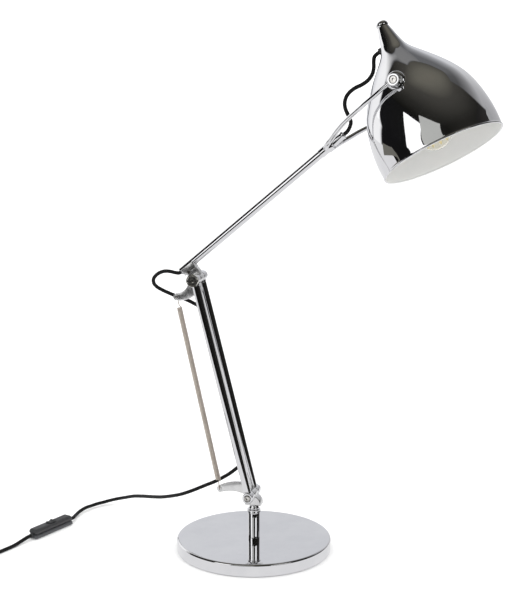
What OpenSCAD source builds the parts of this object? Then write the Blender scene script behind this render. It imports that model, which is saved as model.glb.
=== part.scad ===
// Adjustable table lamp: a weighted round base, two jointed arms, a balance spring, a forked
// yoke and a bell shade. Millimetres, +Z up, origin at the centre of the underside of the base.
// The arms swing in the XZ plane with the shade towards +X. "Near" is the -Y side, "far" is +Y.

/* [Base] */
// Diameter of the base
base_d = 200; // [170:1:230]
// Height of the base
base_h = 16.5; // [14.5:0.5:22]
// Radius of the rounded top edge of the base cover
base_edge = 2.5; // [1.8:0.1:3.5]
// Wall of the base cover
base_wall = 1.5; // [1:0.1:1.7]
// Thickness of the pad under the base
pad_t = 2; // [1.5:0.1:2.5]

/* [Post and head] */
// Diameter of the post
post_d = 15.5; // [14:0.5:18]
// Height of the top of the post above the table
post_top = 54.5; // [50:0.5:56]
// Diameter of the swivel spigot inside the post
stem_d = 9; // [8:0.5:10]
// Height of the lower pivot above the table
pivot_z = 74; // [72:0.5:80]
// Setback of the lower pivot behind the post
pivot_back = 3; // [1:0.5:4]
// Diameter of the pivot bosses
boss_d = 14; // [13:0.5:15]
// Width of the pivot bosses between the tubes
boss_w = 15; // [14.5:0.1:15.4]
// Thickness of the spring horns
horn_t = 4; // [3:0.5:5]

/* [Lower arm] */
// Distance between the lower and the elbow pivot
lower_len = 290; // [260:1:320]
// Lean of the lower arm behind the vertical
lower_tilt = 14.2; // [10:0.1:20]
// Diameter of the arm tubes
tube_d = 10; // [9.6:0.1:10.4]
// Wall of the arm tubes
tube_wall = 1; // [0.8:0.1:1.1]
// Distance between the two lower tubes, centre to centre
tube_pitch = 27; // [26.5:0.1:30]
// Diameter of the pivot bolts
bolt_d = 6; // [5:0.5:6.5]
// Diameter of the elbow bolt's head
elbow_head_d = 16; // [14:0.5:18]

/* [Upper arm] */
// Rise of the upper arm above the horizontal
upper_tilt = 40.5; // [35:0.5:46]
// Height of the upper tube's axis over the elbow pivot
elbow_rise = 19.3; // [18:0.1:22]
// Overhang of the upper tube behind the elbow pivot
upper_back = 10.4; // [8:0.1:13]
// Reach from the elbow to the shade's pivot, along the upper tube
yoke_reach = 363.6; // [340:0.1:390]

/* [Yoke] */
// Roll of the yoke about the upper tube
yoke_roll = 12.7; // [0:0.1:20]
// Drop of the shade's pivot below the upper tube's axis
yoke_drop = 9.1; // [6:0.1:12]
// Length of the sleeve that turns on the upper tube
sleeve_len = 38; // [36:1:42]
// Distance from the sleeve's front end to the shade's pivot
fork_len = 100; // [96:1:110]
// Diameter of the yoke rods at the sleeve
rod_root_d = 6.6; // [6:0.1:7]
// Diameter of the yoke rods at the shade
rod_tip_d = 4.4; // [4:0.1:5]
// Diameter of the discs on the yoke rods
disc_d = 14.6; // [13:0.1:16]
// Thickness of the discs on the yoke rods
disc_t = 4.6; // [4:0.1:6]

/* [Shade] */
// Lean of the shade's axis from the vertical
shade_tilt = 29.6; // [20:0.1:40]
// Length of the shade from tip to mouth
shade_len = 178.8; // [170:0.1:190]
// Diameter of the shade's mouth
mouth_d = 152; // [146:1:160]
// Distance of the shade's pivot from the tip
shade_pivot = 89.6; // [86:0.1:93]
// Wall of the shade
shade_wall = 1; // [0.8:0.1:1.2]
// Thickness of the white lining
lining_t = 0.5; // [0.3:0.1:0.8]
// Diameter of the dome cap at the tip
cap_d = 14.4; // [13:0.1:16]
// Height of the dome cap
cap_h = 8.4; // [7:0.1:10]
// Length of the pivot bosses on the shade
boss_len = 7.7; // [6.5:0.1:9]

/* [Lampholder and bulb] */
// Diameter of the lampholder
holder_d = 28; // [26:0.5:30]
// Length of the lampholder
holder_len = 50; // [46:1:54]
// Diameter of the bulb
bulb_d = 45; // [40:1:50]
// Overall length of the bulb's glass
glass_len = 66; // [60:1:68]

/* [Spring] */
// Outside diameter of the balance spring
spring_d = 6; // [5:0.1:7]
// Diameter of the spring wire
wire_d = 2; // [1.6:0.1:2.2]
// Diameter of the hooked wire ends
hook_d = 1.4; // [1.2:0.1:1.6]
// Number of curls
spring_turns = 72; // [60:1:72]

/* [Cord] */
// Diameter of the cord
cord_d = 4.2; // [3.8:0.1:4.3]
// Number of loops in the put-away coil
coil_turns = 7.5; // [6.5:1:7.5]
// Outer radius of the coil, at the middle of the cord
coil_r = 34; // [33:1:38]
// Step from loop to loop
coil_step = 4.8; // [4.8:0.1:5]

/* [Switch and plug] */
// Length of the inline switch
switch_len = 72; // [66:1:80]
// Width of the inline switch
switch_w = 15; // [14:0.5:18]
// Height of the inline switch
switch_h = 13; // [12:0.5:16]
// Length of the plug body
plug_len = 36; // [32:1:42]
// Width of the plug body at the pins
plug_w = 35; // [32:1:38]

/* [Hidden] */
$fn = 48;
// Running clearance of pins in bores, gap between faces that only meet, and gap between parts that move
fit = 0.05;
seat = 0.05;
move_gap = 0.3;
tube_r = tube_d / 2;
tube_in = tube_r - tube_wall;
cord_r = cord_d / 2;
bolt_r = bolt_d / 2;

// Base and post
base_r = base_d / 2;
cover_lift = 0.8;
cover_in = base_r - base_wall;
weight_r = cover_in - 1.5;
stud_r = 5;
nut_af = 17;
nut_t = 6;
washer_t = 1.5;
recess_top = pad_t + seat + nut_t + washer_t + 2 * seat;
post_r = post_d / 2;
collar_h = 4;
collar_over = 1.1;
stem_r = stem_d / 2;
spigot_len = 22;
neck_r = 4.2;
block_z = pivot_z - 13;
socket_depth = 5;
grub_r = 1.5;
groove_depth = 0.4;
groove_w = 3.4;

// Pivots: washers lie between the boss and the tube eyes
half_boss = boss_w / 2;
tube_y = tube_pitch / 2;
eye_in = tube_y - tube_r - 0.4;
washer_in = half_boss + seat;
washer_out = eye_in - seat;
eye_r = boss_d / 2;
eye_out = tube_y + 7;
eye_out_far = tube_y + tube_r + 1;
eye_out_elbow = tube_y + tube_r + 0.5;
tube_start = eye_r + 1;
spigot_in = 10;
screw_head_r = 4.3;
head_sink = 2.9;
head_proud = 1.2;
elbow_head_t = 4;
nut_r = 6.3;
nut_len = 6.5;
dome_nut = 3.4;
dome_r = (nut_r * nut_r + dome_nut * dome_nut) / (2 * dome_nut);
thread_in = 5;

// Places along the lower arm where the cable goes in and out of the far tube
cable_in_drop = 37.5;
cable_in_at = lower_len - cable_in_drop;
cable_out_at = 36;

// Horn outlines: root, bend and tip of the middle line, from the pivot, and half widths
head_horn = [[-5, 6], [-23, 12], [-42.5, 3.6]];
head_horn_w = [8, 4.4];
elbow_horn = [[-3, -8], [-11, -25.5], [-28, -26]];
elbow_horn_w = [8.4, 4.5];
horn_hole_r = 1.2;

// Yoke: the rods leave the hub and spread to the discs beside the shade
sleeve_x1 = yoke_reach - fork_len;
sleeve_x0 = sleeve_x1 - sleeve_len;
sleeve_r = tube_r + 0.8;
hub_r = tube_r + 1.9;
hub_x0 = sleeve_x0 + 10;
hub_len = 11;
stub_r = tube_r - 0.3;
stub_len = 19;
tube_end_x = sleeve_x1 - stub_len;
cable_bore_r = cord_r + 0.5;
pivot_r = 2.5;
pivot_head_r = 4.2;
pivot_head_t = 2;
// Share of the way to the pivot, share of the half width and share of the drop
rod_path = [[0, 0.05, 0], [0.066, 0.207, 0], [0.128, 0.278, 0], [0.21, 0.39, 0], [0.284, 0.478, 0],
            [0.44, 0.655, 0.22], [0.534, 0.755, 0.43], [0.652, 0.865, 0.64], [0.769, 0.934, 0.8],
            [0.894, 0.99, 0.92], [0.955, 1, 1]];

// Shade outline: share of the way from the cap to the mouth, share of the mouth radius
bell_keys = [[0.068, 0.137], [0.133, 0.178], [0.186, 0.229], [0.238, 0.32], [0.303, 0.45],
             [0.385, 0.605], [0.467, 0.741], [0.555, 0.855], [0.655, 0.933], [0.772, 0.9855],
             [0.889, 1.0085], [1, 1]];
mouth_r = mouth_d / 2;
cap_r = cap_d / 2;
neck_in = cap_r - shade_wall;
rim_bead = 1.1;
bell_steps = 44;
keys = concat([[cap_h, cap_r]],
              [for (k = bell_keys) [cap_h + k[0] * (shade_len - cap_h), k[1] * mouth_r]]);
pivot_bell_r = bell(shade_pivot);
pivot_in = bell(shade_pivot + pivot_r) + 0.7;
disc_in = pivot_bell_r + boss_len + move_gap;
yoke_half = disc_in + disc_t / 2;
disc_out = disc_in + disc_t;
pivot_boss_r = 7.8;
pivot_flange_r = 11.5;
pivot_flange_h = 2.2;
nipple_r = 4;
nipple_bore = 2.6;
holder_top = 52;
holder_r = holder_d / 2;
holder_step = 23;
thread_r = 7;
thread_len = 24;
glass_top = holder_top + holder_len + 4;
glass_wall = 0.8;
grommet_at = 33;
grommet_r = 3.1;
grommet_flange = 4.4;
grommet_lip = 1.6;

// Spring
wire_r = wire_d / 2;
hook_r = hook_d / 2;
coil_mid_r = spring_d / 2 - wire_r;
hook_low = 11;
hook_high = 13;
curl_rings = 8;
wire_sides = 6;
ramp = 6;

// Cord routes, straight out of the grommets
drop_route = [[-18.57, 13.5, 107.2], [-22.1, 13.5, 106.2], [-25.4, 13.6, 104], [-28.7, 13.8, 101.1],
              [-36.4, 14.4, 94.6], [-47.8, 15.1, 86.8], [-58.3, 15.7, 80.5], [-64.5, 15.9, 77.4]];
lay_route = [[-64.59, 15.91, 77.36], [-70.2, 16, 74.7], [-79.2, 16, 70.2], [-91.2, 16.2, 64.4],
             [-104.6, 18.5, 58.3], [-121.9, 27.6, 51], [-141.3, 42.1, 42.8], [-162.3, 60.3, 35],
             [-184.2, 79.7, 27.3], [-203.6, 95.6, 20.1], [-219.7, 106, 13.2], [-233.4, 109.9, 8.6],
             [-243.3, 107.8, 6], [-250.8, 101.8, 4.7], [-256.5, 93.5, 4.8], [-261.7, 83.7, 4.6],
             [-265.7, 73.2, 5], [-268.3, 61.3, 4.6], [-268.9, 48.6, 4.1], [-267.8, 38.4, 4.6],
             [-266.9, 29.2, 5.2], [-268.1, 24.9, 5.2]];
tail_route = [[-293.9, -50.7, 5.2], [-295.2, -54.7, 5.2], [-298.4, -66, 4], [-302.4, -80, 2.4],
              [-307, -94, 2.2], [-312, -108, 2.2], [-317, -123, 2.4], [-320.8, -135, 3],
              [-322, -143.8, 3], [-322, -147.6, 3]];
elbow_route = [[-95.8, 0, 362], [-98.6, 0, 360.4], [-103, 0, 360.4], [-110, 0, 361.6],
               [-117, 0.4, 361.8], [-124.6, 1.2, 359.6], [-131, 2.2, 355.2], [-134.8, 3.4, 349.8],
               [-134.8, 4.6, 344.4], [-130.8, 6, 339.4], [-124.4, 7.4, 335.6], [-116.4, 8.6, 332],
               [-108, 9.8, 328.6], [-98, 11, 325.2], [-88.7, 12.4, 321.6], [-81.5, 13.3, 318],
               [-76.2, 13.5, 316.1], [-71.7, 13.5, 317.07]];
shade_route = [[114.2, 0, 541.4], [117.4, 0.1, 544.2], [120.6, 0.5, 549.6], [121.8, 1.4, 556.6],
               [119.4, 2.8, 561.6], [116.4, 4, 566.8], [113.8, 5.4, 572.4], [112.8, 6.5, 578],
               [114.6, 7.6, 586], [118.4, 8, 591.2], [125, 8, 596.4], [133.6, 7.7, 600.6],
               [141.4, 7.6, 606.4], [146.2, 8.2, 614], [147.4, 9.2, 621.4], [147, 10.2, 628],
               [147.8, 11, 634], [151.61, 11.03, 637.68], [155.68, 10.83, 640.02]];
cord_sides = 8;

// Coil on the table: lifted clear of its tie, beside the edge of the view
coil_at = [-356, -148];
coil_z = 3;
loop_rings = 24;
tie_t = 0.7;
tie_w = 5;
tie_room = 0.4;

// Inline switch and plug
switch_at = [-281, -12.9];
switch_turn = -108.8;
switch_split = 5.2;
switch_round = 5.5;
scoop_r = 30;
scoop_deep = 1.2;
relief_len = 3;
relief_r = 3.2;
rocker_len = 14;
rocker_w = 7;
rocker_rise = 2.8;
rocker_tilt = 6;
rocker_pin_r = 1.2;
plug_h = 14.8;
plug_tail_w = 13;
plug_relief_len = 22;
pin_r = 2;
pin_len = 19;
pin_pitch = 18.6;

// Frames: each one carries the next along the lamp
module pivot_frame() { translate([-pivot_back, 0, pivot_z]) children(); }
module lower_frame() { pivot_frame() rotate([0, -lower_tilt, 0]) children(); }
module elbow_place() { lower_frame() translate([0, 0, lower_len]) rotate([0, lower_tilt, 0]) children(); }
module elbow_frame() { elbow_place() rotate([0, -upper_tilt, 0]) children(); }
module arm_frame() { elbow_frame() translate([0, 0, elbow_rise]) children(); }
module yoke_frame() { arm_frame() rotate([-yoke_roll, 0, 0]) children(); }
module shade_frame() {
  yoke_frame() translate([yoke_reach, 0, -yoke_drop]) rotate([0, upper_tilt - shade_tilt, 0]) children();
}
module switch_frame() { translate([switch_at[0], switch_at[1], 0]) rotate([0, 0, switch_turn]) children(); }

// Cylinders along X and Y from one coordinate to another
module x_cyl(r, x0, x1) { translate([x0, 0, 0]) rotate([0, 90, 0]) cylinder(r = r, h = x1 - x0); }
module y_cyl(r, y0, y1) { translate([0, y0, 0]) rotate([-90, 0, 0]) cylinder(r = r, h = y1 - y0); }
// A flat outline in the XZ plane, given a thickness about Y
module xz_plate(t) { rotate([90, 0, 0]) linear_extrude(t, center = true) children(); }
module rounded_rect(w, h, r) {
  square([w - 2 * r, h], center = true);
  square([w, h - 2 * r], center = true);
  for (x = [-1, 1], y = [-1, 1]) translate([x * (w / 2 - r), y * (h / 2 - r)]) circle(r);
}
// A disc with a rounded top edge
module rounded_disc(r, h, e) {
  rotate_extrude($fn = 96) {
    square([r - e, h]);
    square([r, h - e]);
    translate([r - e, h - e]) circle(e);
  }
}
module hex_recess(af, depth) { cylinder(d = af / cos(30), h = depth, $fn = 6); }

// Curves
function unit(v) = v / norm(v);
function bezier(p, t) = (1 - t) * (1 - t) * p[0] + 2 * t * (1 - t) * p[1] + t * t * p[2];
function bezier_side(p, w, t, side) =
  let (d = unit((1 - t) * (p[1] - p[0]) + t * (p[2] - p[1])))
  bezier(p, t) + side * (w[0] + t * (w[1] - w[0])) * [-d[1], d[0]];
function key_slope(i) =
  let (a = keys[max(i - 1, 0)], b = keys[min(i + 1, len(keys) - 1)]) (b[1] - a[1]) / (b[0] - a[0]);
function key_index(t) = max([0, for (i = [0 : len(keys) - 2]) if (t >= keys[i][0]) i]);
function bell(t) =
  let (i = key_index(t), a = keys[i], b = keys[i + 1], h = b[0] - a[0], s = (t - a[0]) / h)
  a[1] * (2 * s ^ 3 - 3 * s ^ 2 + 1) + key_slope(i) * h * (s ^ 3 - 2 * s ^ 2 + s)
  + b[1] * (3 * s ^ 2 - 2 * s ^ 3) + key_slope(i + 1) * h * (s ^ 3 - s ^ 2);
function bell_slope(t) = (bell(t + 0.5) - bell(t - 0.5));
function bell_inset(t, inset) = bell(t) - inset * sqrt(1 + bell_slope(t) ^ 2);

// A tube along points: rings carried along without twist, radius by ring, closed ends
function tangents(p) = [for (i = [0 : len(p) - 1]) unit(p[min(i + 1, len(p) - 1)] - p[max(i - 1, 0)])];
function square_to(n, t) = unit(n - (n * t) * t);
function normals(t, n0) =
  [for (i = 0, n = square_to(n0, t[0]); i < len(t);
        i = i + 1, n = i < len(t) ? square_to(n, t[i]) : n) n];
function ring(c, t, n, r, sides) =
  let (b = cross(t, n), step = 360 / sides)
  [for (k = [0 : sides - 1]) c + r * (cos(step * k) * n + sin(step * k) * b)];
function tube_faces(rings, m) = concat(
  [for (i = [0 : rings - 2], j = [0 : m - 1]) let (a = i * m + j, b = i * m + (j + 1) % m) [a, a + m, b]],
  [for (i = [0 : rings - 2], j = [0 : m - 1]) let (a = i * m + j, b = i * m + (j + 1) % m) [b, a + m, b + m]],
  [for (j = [1 : m - 2]) [0, j, j + 1]],
  [for (j = [1 : m - 2]) let (e = (rings - 1) * m) [e, e + j + 1, e + j]]);
module swept_tube(p, radii, sides, n0) {
  t = tangents(p);
  n = normals(t, n0);
  points = [for (i = [0 : len(p) - 1]) each ring(p[i], t[i], n[i], radii[i], sides)];
  polyhedron(points, tube_faces(len(p), sides));
}
module cord(route) { swept_tube(route, [for (p = route) cord_r], cord_sides, [0.2, 0.3, 0.9]); }
// Least gap between a tube's turns, over ring middles at least so many rings apart
function least_gap(p, radii, apart, reach) = min([for (i = [0 : len(p) - 1 - apart])
  for (j = [i + apart : min(i + reach, len(p) - 1)]) norm(p[i] - p[j]) - radii[i] - radii[j]]);

// Base
module base_cover() {
  color("silver") difference() {
    rounded_disc(base_r, base_h, base_edge);
    translate([0, 0, -1]) rounded_disc(cover_in, base_h - base_wall + 1, base_edge - base_wall + 0.5);
    translate([0, 0, -1]) cylinder(r = base_r + 1, h = 1 + cover_lift);
    cylinder(r = stud_r + fit, h = base_h + 1);
  }
}
module base_weight() {
  color("dimgray") difference() {
    translate([0, 0, pad_t + seat])
      cylinder(r = weight_r, h = base_h - base_wall - pad_t - 2 * seat, $fn = 96);
    cylinder(r = stud_r + fit, h = base_h);
    cylinder(r = nut_af / 2 + 4, h = recess_top);
  }
}
module base_pad() { color("black") cylinder(r = weight_r, h = pad_t, $fn = 96); }
module post() {
  color("silver") difference() {
    union() {
      translate([0, 0, base_h + seat]) cylinder(r = post_r, h = post_top - base_h - seat);
      rotate_extrude() polygon([[0, post_top - collar_h], [post_r + collar_over, post_top - collar_h],
        [post_r + collar_over, post_top - collar_over], [post_r, post_top], [0, post_top]]);
      translate([0, 0, pad_t + 2 * seat]) cylinder(r = stud_r, h = base_h - pad_t);
    }
    translate([0, 0, post_top - spigot_len - move_gap]) cylinder(r = stem_r + fit, h = spigot_len + 1);
    translate([0, 0, post_top - spigot_len / 2]) y_cyl(grub_r + fit, 0, post_r + collar_over + 1);
  }
}
module post_washer() {
  color("gray") translate([0, 0, recess_top - seat - washer_t]) difference() {
    cylinder(r = nut_af / 2 + 2.5, h = washer_t);
    translate([0, 0, -1]) cylinder(r = stud_r + fit, h = washer_t + 2);
  }
}
module post_nut() {
  color("gray") translate([0, 0, pad_t + seat]) difference() {
    hex_recess(nut_af, nut_t);
    translate([0, 0, -1]) cylinder(r = stud_r + fit, h = nut_t + 2);
  }
}
// The grub screw's tip runs in a groove round the swivel spigot
module swivel_grub() {
  color("dimgray") translate([0, 0, post_top - spigot_len / 2])
    y_cyl(grub_r, stem_r - groove_depth + 2 * fit, post_r - 0.4);
}

// Head: swivels on the post
module swivel_stem() {
  z0 = post_top - spigot_len;
  zg = post_top - spigot_len / 2;
  top = block_z + socket_depth - seat;
  color("silver") rotate_extrude() polygon([[0, z0], [stem_r, z0], [stem_r, zg - groove_w / 2],
    [stem_r - groove_depth, zg - groove_w / 2], [stem_r - groove_depth, zg + groove_w / 2],
    [stem_r, zg + groove_w / 2], [stem_r, post_top + seat], [post_r - 0.8, post_top + seat],
    [post_r - 0.8, post_top + 2.4], [neck_r + 1, block_z - 1.4], [neck_r + 1, block_z - seat],
    [neck_r, block_z - seat], [neck_r, top], [0, top]]);
}
// A horn's outline: tapered along its curved middle line, round at the tip
module horn_outline(p, w) {
  steps = 10;
  polygon(concat([for (i = [0 : steps]) bezier_side(p, w, i / steps, 1)],
                 [for (i = [steps : -1 : 0]) bezier_side(p, w, i / steps, -1)]));
  translate(p[2]) circle(w[1]);
}
module head_casting() {
  fin_r = pivot_z - block_z + 1;
  color("silver") difference() {
    union() {
      pivot_frame() xz_plate(boss_w) {
        circle(boss_d / 2);
        intersection() {
          translate([0, block_z - pivot_z]) circle(fin_r);
          translate([-boss_d / 2, block_z - pivot_z]) square([boss_d / 2 + fin_r + 1, fin_r + 1]);
        }
      }
      pivot_frame() xz_plate(horn_t) horn_outline(head_horn, head_horn_w);
    }
    pivot_frame() y_cyl(bolt_r + fit, -boss_w, boss_w);
    pivot_frame() translate([head_horn[2][0], 0, head_horn[2][1]]) y_cyl(horn_hole_r, -horn_t, horn_t);
    translate([0, 0, block_z - 1]) cylinder(r = neck_r + fit, h = 1 + socket_depth);
  }
}

// Pivot hardware, shared by the foot and the elbow of the lower arm
module socket_bolt(head_r, y_seat, head_t, dish, key_af) {
  difference() {
    union() {
      y_cyl(bolt_r, -y_seat, eye_out_far + thread_in);
      y_cyl(head_r, -y_seat - head_t, -y_seat);
    }
    y_cyl(head_r - 1.6, -y_seat - head_t - 1, -y_seat - head_t + dish);
    translate([0, -y_seat - head_t - 1, 0]) rotate([-90, 0, 0]) hex_recess(key_af, 1 + dish + 2);
  }
}
module cap_nut() {
  y0 = eye_out_far + seat;
  difference() {
    translate([0, y0, 0]) rotate([-90, 0, 0]) rotate_extrude() {
      square([nut_r, nut_len - dome_nut]);
      intersection() {
        translate([0, nut_len - dome_r]) circle(dome_r);
        translate([0, nut_len - dome_nut]) square([nut_r, dome_nut]);
      }
    }
    y_cyl(bolt_r + fit, y0 - 1, eye_out_far + thread_in + 2 * seat);
  }
}
module pivot_washers() {
  for (s = [0, 1]) mirror([0, s, 0]) difference() {
    y_cyl(eye_r - 0.5, washer_in, washer_out);
    y_cyl(bolt_r + fit, washer_in - 1, washer_out + 1);
  }
}
// An eye on the end of a tube, with a spigot into the tube. Local Z points along the tube.
module tube_eye(y1, sink) {
  difference() {
    union() {
      y_cyl(eye_r, eye_in, y1);
      translate([0, tube_y, 0]) cylinder(r = tube_r, h = tube_start - seat);
      translate([0, tube_y, 0]) cylinder(r = tube_in - fit, h = tube_start + spigot_in);
    }
    y_cyl(bolt_r + fit, eye_in - 1, y1 + 1);
    if (sink > 0) y_cyl(screw_head_r + move_gap, y1 - sink, y1 + 1);
  }
}
module foot_bolt() {
  color("gainsboro") pivot_frame()
    socket_bolt(screw_head_r, eye_out - head_sink + seat, head_sink + head_proud, 0.6, 4);
}
module foot_cap_nut() { color("silver") pivot_frame() cap_nut(); }
module foot_washers() { color("white") pivot_frame() pivot_washers(); }
module foot_eyes() {
  color("silver") lower_frame() {
    mirror([0, 1, 0]) tube_eye(eye_out, head_sink);
    tube_eye(eye_out_far, 0);
  }
}
module top_eyes() {
  color("silver") lower_frame() translate([0, 0, lower_len]) mirror([0, 0, 1]) {
    mirror([0, 1, 0]) tube_eye(eye_out_elbow, 0);
    tube_eye(eye_out_far, 0);
  }
}
module elbow_bolt() {
  color("dimgray") elbow_place() socket_bolt(elbow_head_d / 2, eye_out_elbow + seat, elbow_head_t, 0.9, 5);
}
module elbow_cap_nut() { color("silver") elbow_place() cap_nut(); }
module elbow_washers() { color("white") elbow_place() pivot_washers(); }

// Lower arm tubes and the cable inside the far one
module lower_tube() {
  difference() {
    translate([0, 0, tube_start]) cylinder(r = tube_r, h = lower_len - 2 * tube_start);
    cylinder(r = tube_in, h = lower_len);
  }
}
module lower_tube_near() { color("silver") lower_frame() translate([0, -tube_y, 0]) lower_tube(); }
module lower_tube_far() {
  color("silver") lower_frame() translate([0, tube_y, 0]) difference() {
    lower_tube();
    for (z = [cable_in_at, cable_out_at]) translate([0, 0, z]) x_cyl(cord_r + 0.65, -tube_d, 0);
  }
}
// A rubber ring in a side hole of the far tube
module side_grommet(z) {
  lower_frame() translate([0, tube_y, z]) difference() {
    union() {
      difference() {
        x_cyl(cord_r + 1.7, -tube_r - 1.6, -tube_in);
        translate([0, 0, -tube_d]) cylinder(r = tube_r + seat, h = 2 * tube_d);
      }
      x_cyl(cord_r + 0.65 - fit, -tube_r - 1, -tube_in);
    }
    x_cyl(cord_r + fit, -tube_d, 0);
  }
}
module cable_grommet_in() { color("black") side_grommet(cable_in_at); }
module cable_grommet_out() { color("black") side_grommet(cable_out_at); }
module lower_arm_cable() {
  color("black") lower_frame() translate([0, tube_y, cable_out_at])
    cylinder(r = cord_r, h = cable_in_at - cable_out_at);
}

// Elbow and upper arm
module elbow_casting() {
  saddle_h = elbow_rise - tube_r - 3;
  color("silver") difference() {
    union() {
      elbow_frame() y_cyl(boss_d / 2, -half_boss, half_boss);
      elbow_frame() xz_plate(boss_w - 5) polygon([[-boss_d / 2, 0], [boss_d / 2, 0],
        [upper_back - 2, saddle_h], [2 - upper_back, saddle_h]]);
      elbow_frame() translate([1 - upper_back, -half_boss + 1.5, saddle_h])
        cube([2 * upper_back - 2, boss_w - 3, elbow_rise + 1.5 - saddle_h]);
      elbow_place() xz_plate(horn_t) horn_outline(elbow_horn, elbow_horn_w);
    }
    elbow_place() y_cyl(bolt_r + fit, -boss_w, boss_w);
    elbow_place() translate([elbow_horn[2][0], 0, elbow_horn[2][1]]) y_cyl(horn_hole_r, -horn_t, horn_t);
    arm_frame() x_cyl(tube_r + fit, -3 * upper_back, 3 * upper_back);
    elbow_frame() translate([-2, 0, saddle_h + 1]) y_cyl(grub_r + fit, -boss_w, 0);
  }
}
module saddle_screw() {
  color("dimgray") elbow_frame() translate([-2, 0, elbow_rise - tube_r - 2]) {
    y_cyl(grub_r, -half_boss + 1.5 - seat, -1);
    y_cyl(grub_r + 0.9, -half_boss, -half_boss + 1.5 - seat);
  }
}
module upper_tube() {
  groove_x = sleeve_x0 + sleeve_len / 5;
  color("silver") arm_frame() difference() {
    x_cyl(tube_r, -upper_back, tube_end_x);
    x_cyl(tube_in, -upper_back - 1, tube_end_x + 1);
    difference() {
      x_cyl(tube_r + 1, groove_x - groove_w / 2, groove_x + groove_w / 2);
      x_cyl(tube_r - groove_depth, groove_x - groove_w, groove_x + groove_w);
    }
  }
}
module upper_tube_bush() {
  color("black") arm_frame() difference() {
    union() {
      x_cyl(tube_in - fit, -upper_back, -upper_back + 4);
      x_cyl(tube_r - 0.3, -upper_back - 1, -upper_back - seat);
    }
    x_cyl(cord_r + fit, -upper_back - 2, -upper_back + 5);
  }
}
module upper_arm_cable() { color("black") arm_frame() x_cyl(cord_r, -upper_back + 0.4, sleeve_x1 - 0.4); }

// Yoke
module yoke_sleeve() {
  hub_x1 = hub_x0 + hub_len;
  lip_x = sleeve_x1 - 2.4;
  color("silver") yoke_frame() difference() {
    rotate([0, 90, 0]) rotate_extrude() polygon([[0, sleeve_x0], [sleeve_r - 0.4, sleeve_x0],
      [sleeve_r, sleeve_x0 + 0.4], [sleeve_r, hub_x0], [hub_r, hub_x0 + 3], [hub_r, hub_x1 - 2],
      [stub_r, hub_x1], [stub_r, lip_x], [stub_r + 0.4, lip_x], [stub_r + 0.4, sleeve_x1 - 0.5],
      [stub_r - 0.1, sleeve_x1], [0, sleeve_x1]]);
    x_cyl(tube_r + fit, sleeve_x0 - 1, tube_end_x + move_gap);
    x_cyl(cable_bore_r, sleeve_x0 - 1, sleeve_x1 + 1);
    translate([sleeve_x0 + sleeve_len / 5, 0, 0]) cylinder(r = grub_r + fit, h = 2 * sleeve_r);
  }
}
module yoke_grub() {
  color("dimgray") yoke_frame() translate([sleeve_x0 + sleeve_len / 5, 0, tube_r - groove_depth + 2 * fit])
    cylinder(r = grub_r, h = sleeve_r - tube_r + groove_depth - 4 * fit);
}
// One rod: swept from the hub to the disc beside the shade
module yoke_rod() {
  x0 = hub_x0;
  path = [for (s = rod_path) [x0 + s[0] * (yoke_reach - x0), s[1] * yoke_half, -s[2] * yoke_drop]];
  radii = [for (s = rod_path) (rod_root_d + s[0] * (rod_tip_d - rod_root_d)) / 2];
  difference() {
    union() {
      difference() {
        swept_tube(path, radii, 12, [0, 0, 1]);
        x_cyl(hub_r + seat, sleeve_x0, sleeve_x1 + 1);
      }
      translate([yoke_reach, 0, -yoke_drop]) y_cyl(disc_d / 2, disc_in, disc_out);
    }
    translate([yoke_reach, 0, -yoke_drop]) {
      y_cyl(pivot_r + fit, disc_in - 1, disc_out + 1);
      y_cyl(pivot_head_r + move_gap, disc_out - pivot_head_t + 0.4, disc_out + 1);
    }
  }
}
module yoke_rod_far() { color("silver") yoke_frame() yoke_rod(); }
module yoke_rod_near() { color("silver") yoke_frame() mirror([0, 1, 0]) yoke_rod(); }

// Shade: local Z runs up to the tip, from the pivot
function drop_at(t) = shade_pivot - t;
function bell_points(inset, t0, t1) = [for (i = [0 : bell_steps])
  let (t = t0 + (t1 - t0) * i / bell_steps) [bell_inset(t, inset), drop_at(t)]];
// The mouth's edge is rolled into a bead
rim_from = shade_len - 1.5 * rim_bead;
function rim_points() = [for (a = [60 : -15 : -240])
  [bell(shade_len) - shade_wall / 2, drop_at(shade_len - 0.36 * rim_bead)] + rim_bead * [cos(a), sin(a)]];
function backwards(p) = [for (i = [len(p) - 1 : -1 : 0]) p[i]];
module bell_solid(grow) {
  rotate_extrude() polygon(concat([[0, drop_at(cap_h)]], bell_points(-grow, cap_h, shade_len - 1),
    [[0, drop_at(shade_len - 1)]]));
}
module shade_shell() {
  color("silver") shade_frame() difference() {
    rotate_extrude($fn = 96) polygon(concat(bell_points(0, cap_h + seat, rim_from), rim_points(),
      backwards(bell_points(shade_wall, cap_h + seat, rim_from))));
    translate([0, 0, drop_at(grommet_at)]) x_cyl(grommet_r + fit, -2 * bell(grommet_at), 0);
  }
}
module shade_lining() {
  t0 = holder_top - 4;
  t1 = shade_len - 2;
  color("white") shade_frame() rotate_extrude($fn = 96)
    polygon(concat(bell_points(shade_wall + seat, t0, t1),
      backwards(bell_points(shade_wall + seat + lining_t, t0, t1))));
}
module tip_cap() {
  color("silver") shade_frame() difference() {
    rotate_extrude() {
      polygon(concat([[0, drop_at(cap_h)]],
        [for (a = [0 : 6 : 90]) [cap_r * cos(a), drop_at(cap_h) + cap_h * sin(a)]]));
      translate([0, drop_at(cap_h + 5)]) square([neck_in - fit, 5]);
    }
    translate([0, 0, drop_at(cap_h + 6)]) cylinder(r = nipple_r + fit, h = 9);
  }
}
module holder_nipple() {
  color("goldenrod") shade_frame() translate([0, 0, drop_at(holder_top + 5)]) difference() {
    cylinder(r = nipple_r, h = holder_top + 5 - cap_h + 2);
    translate([0, 0, -1]) cylinder(r = nipple_bore, h = holder_top + 10);
  }
}
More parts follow.
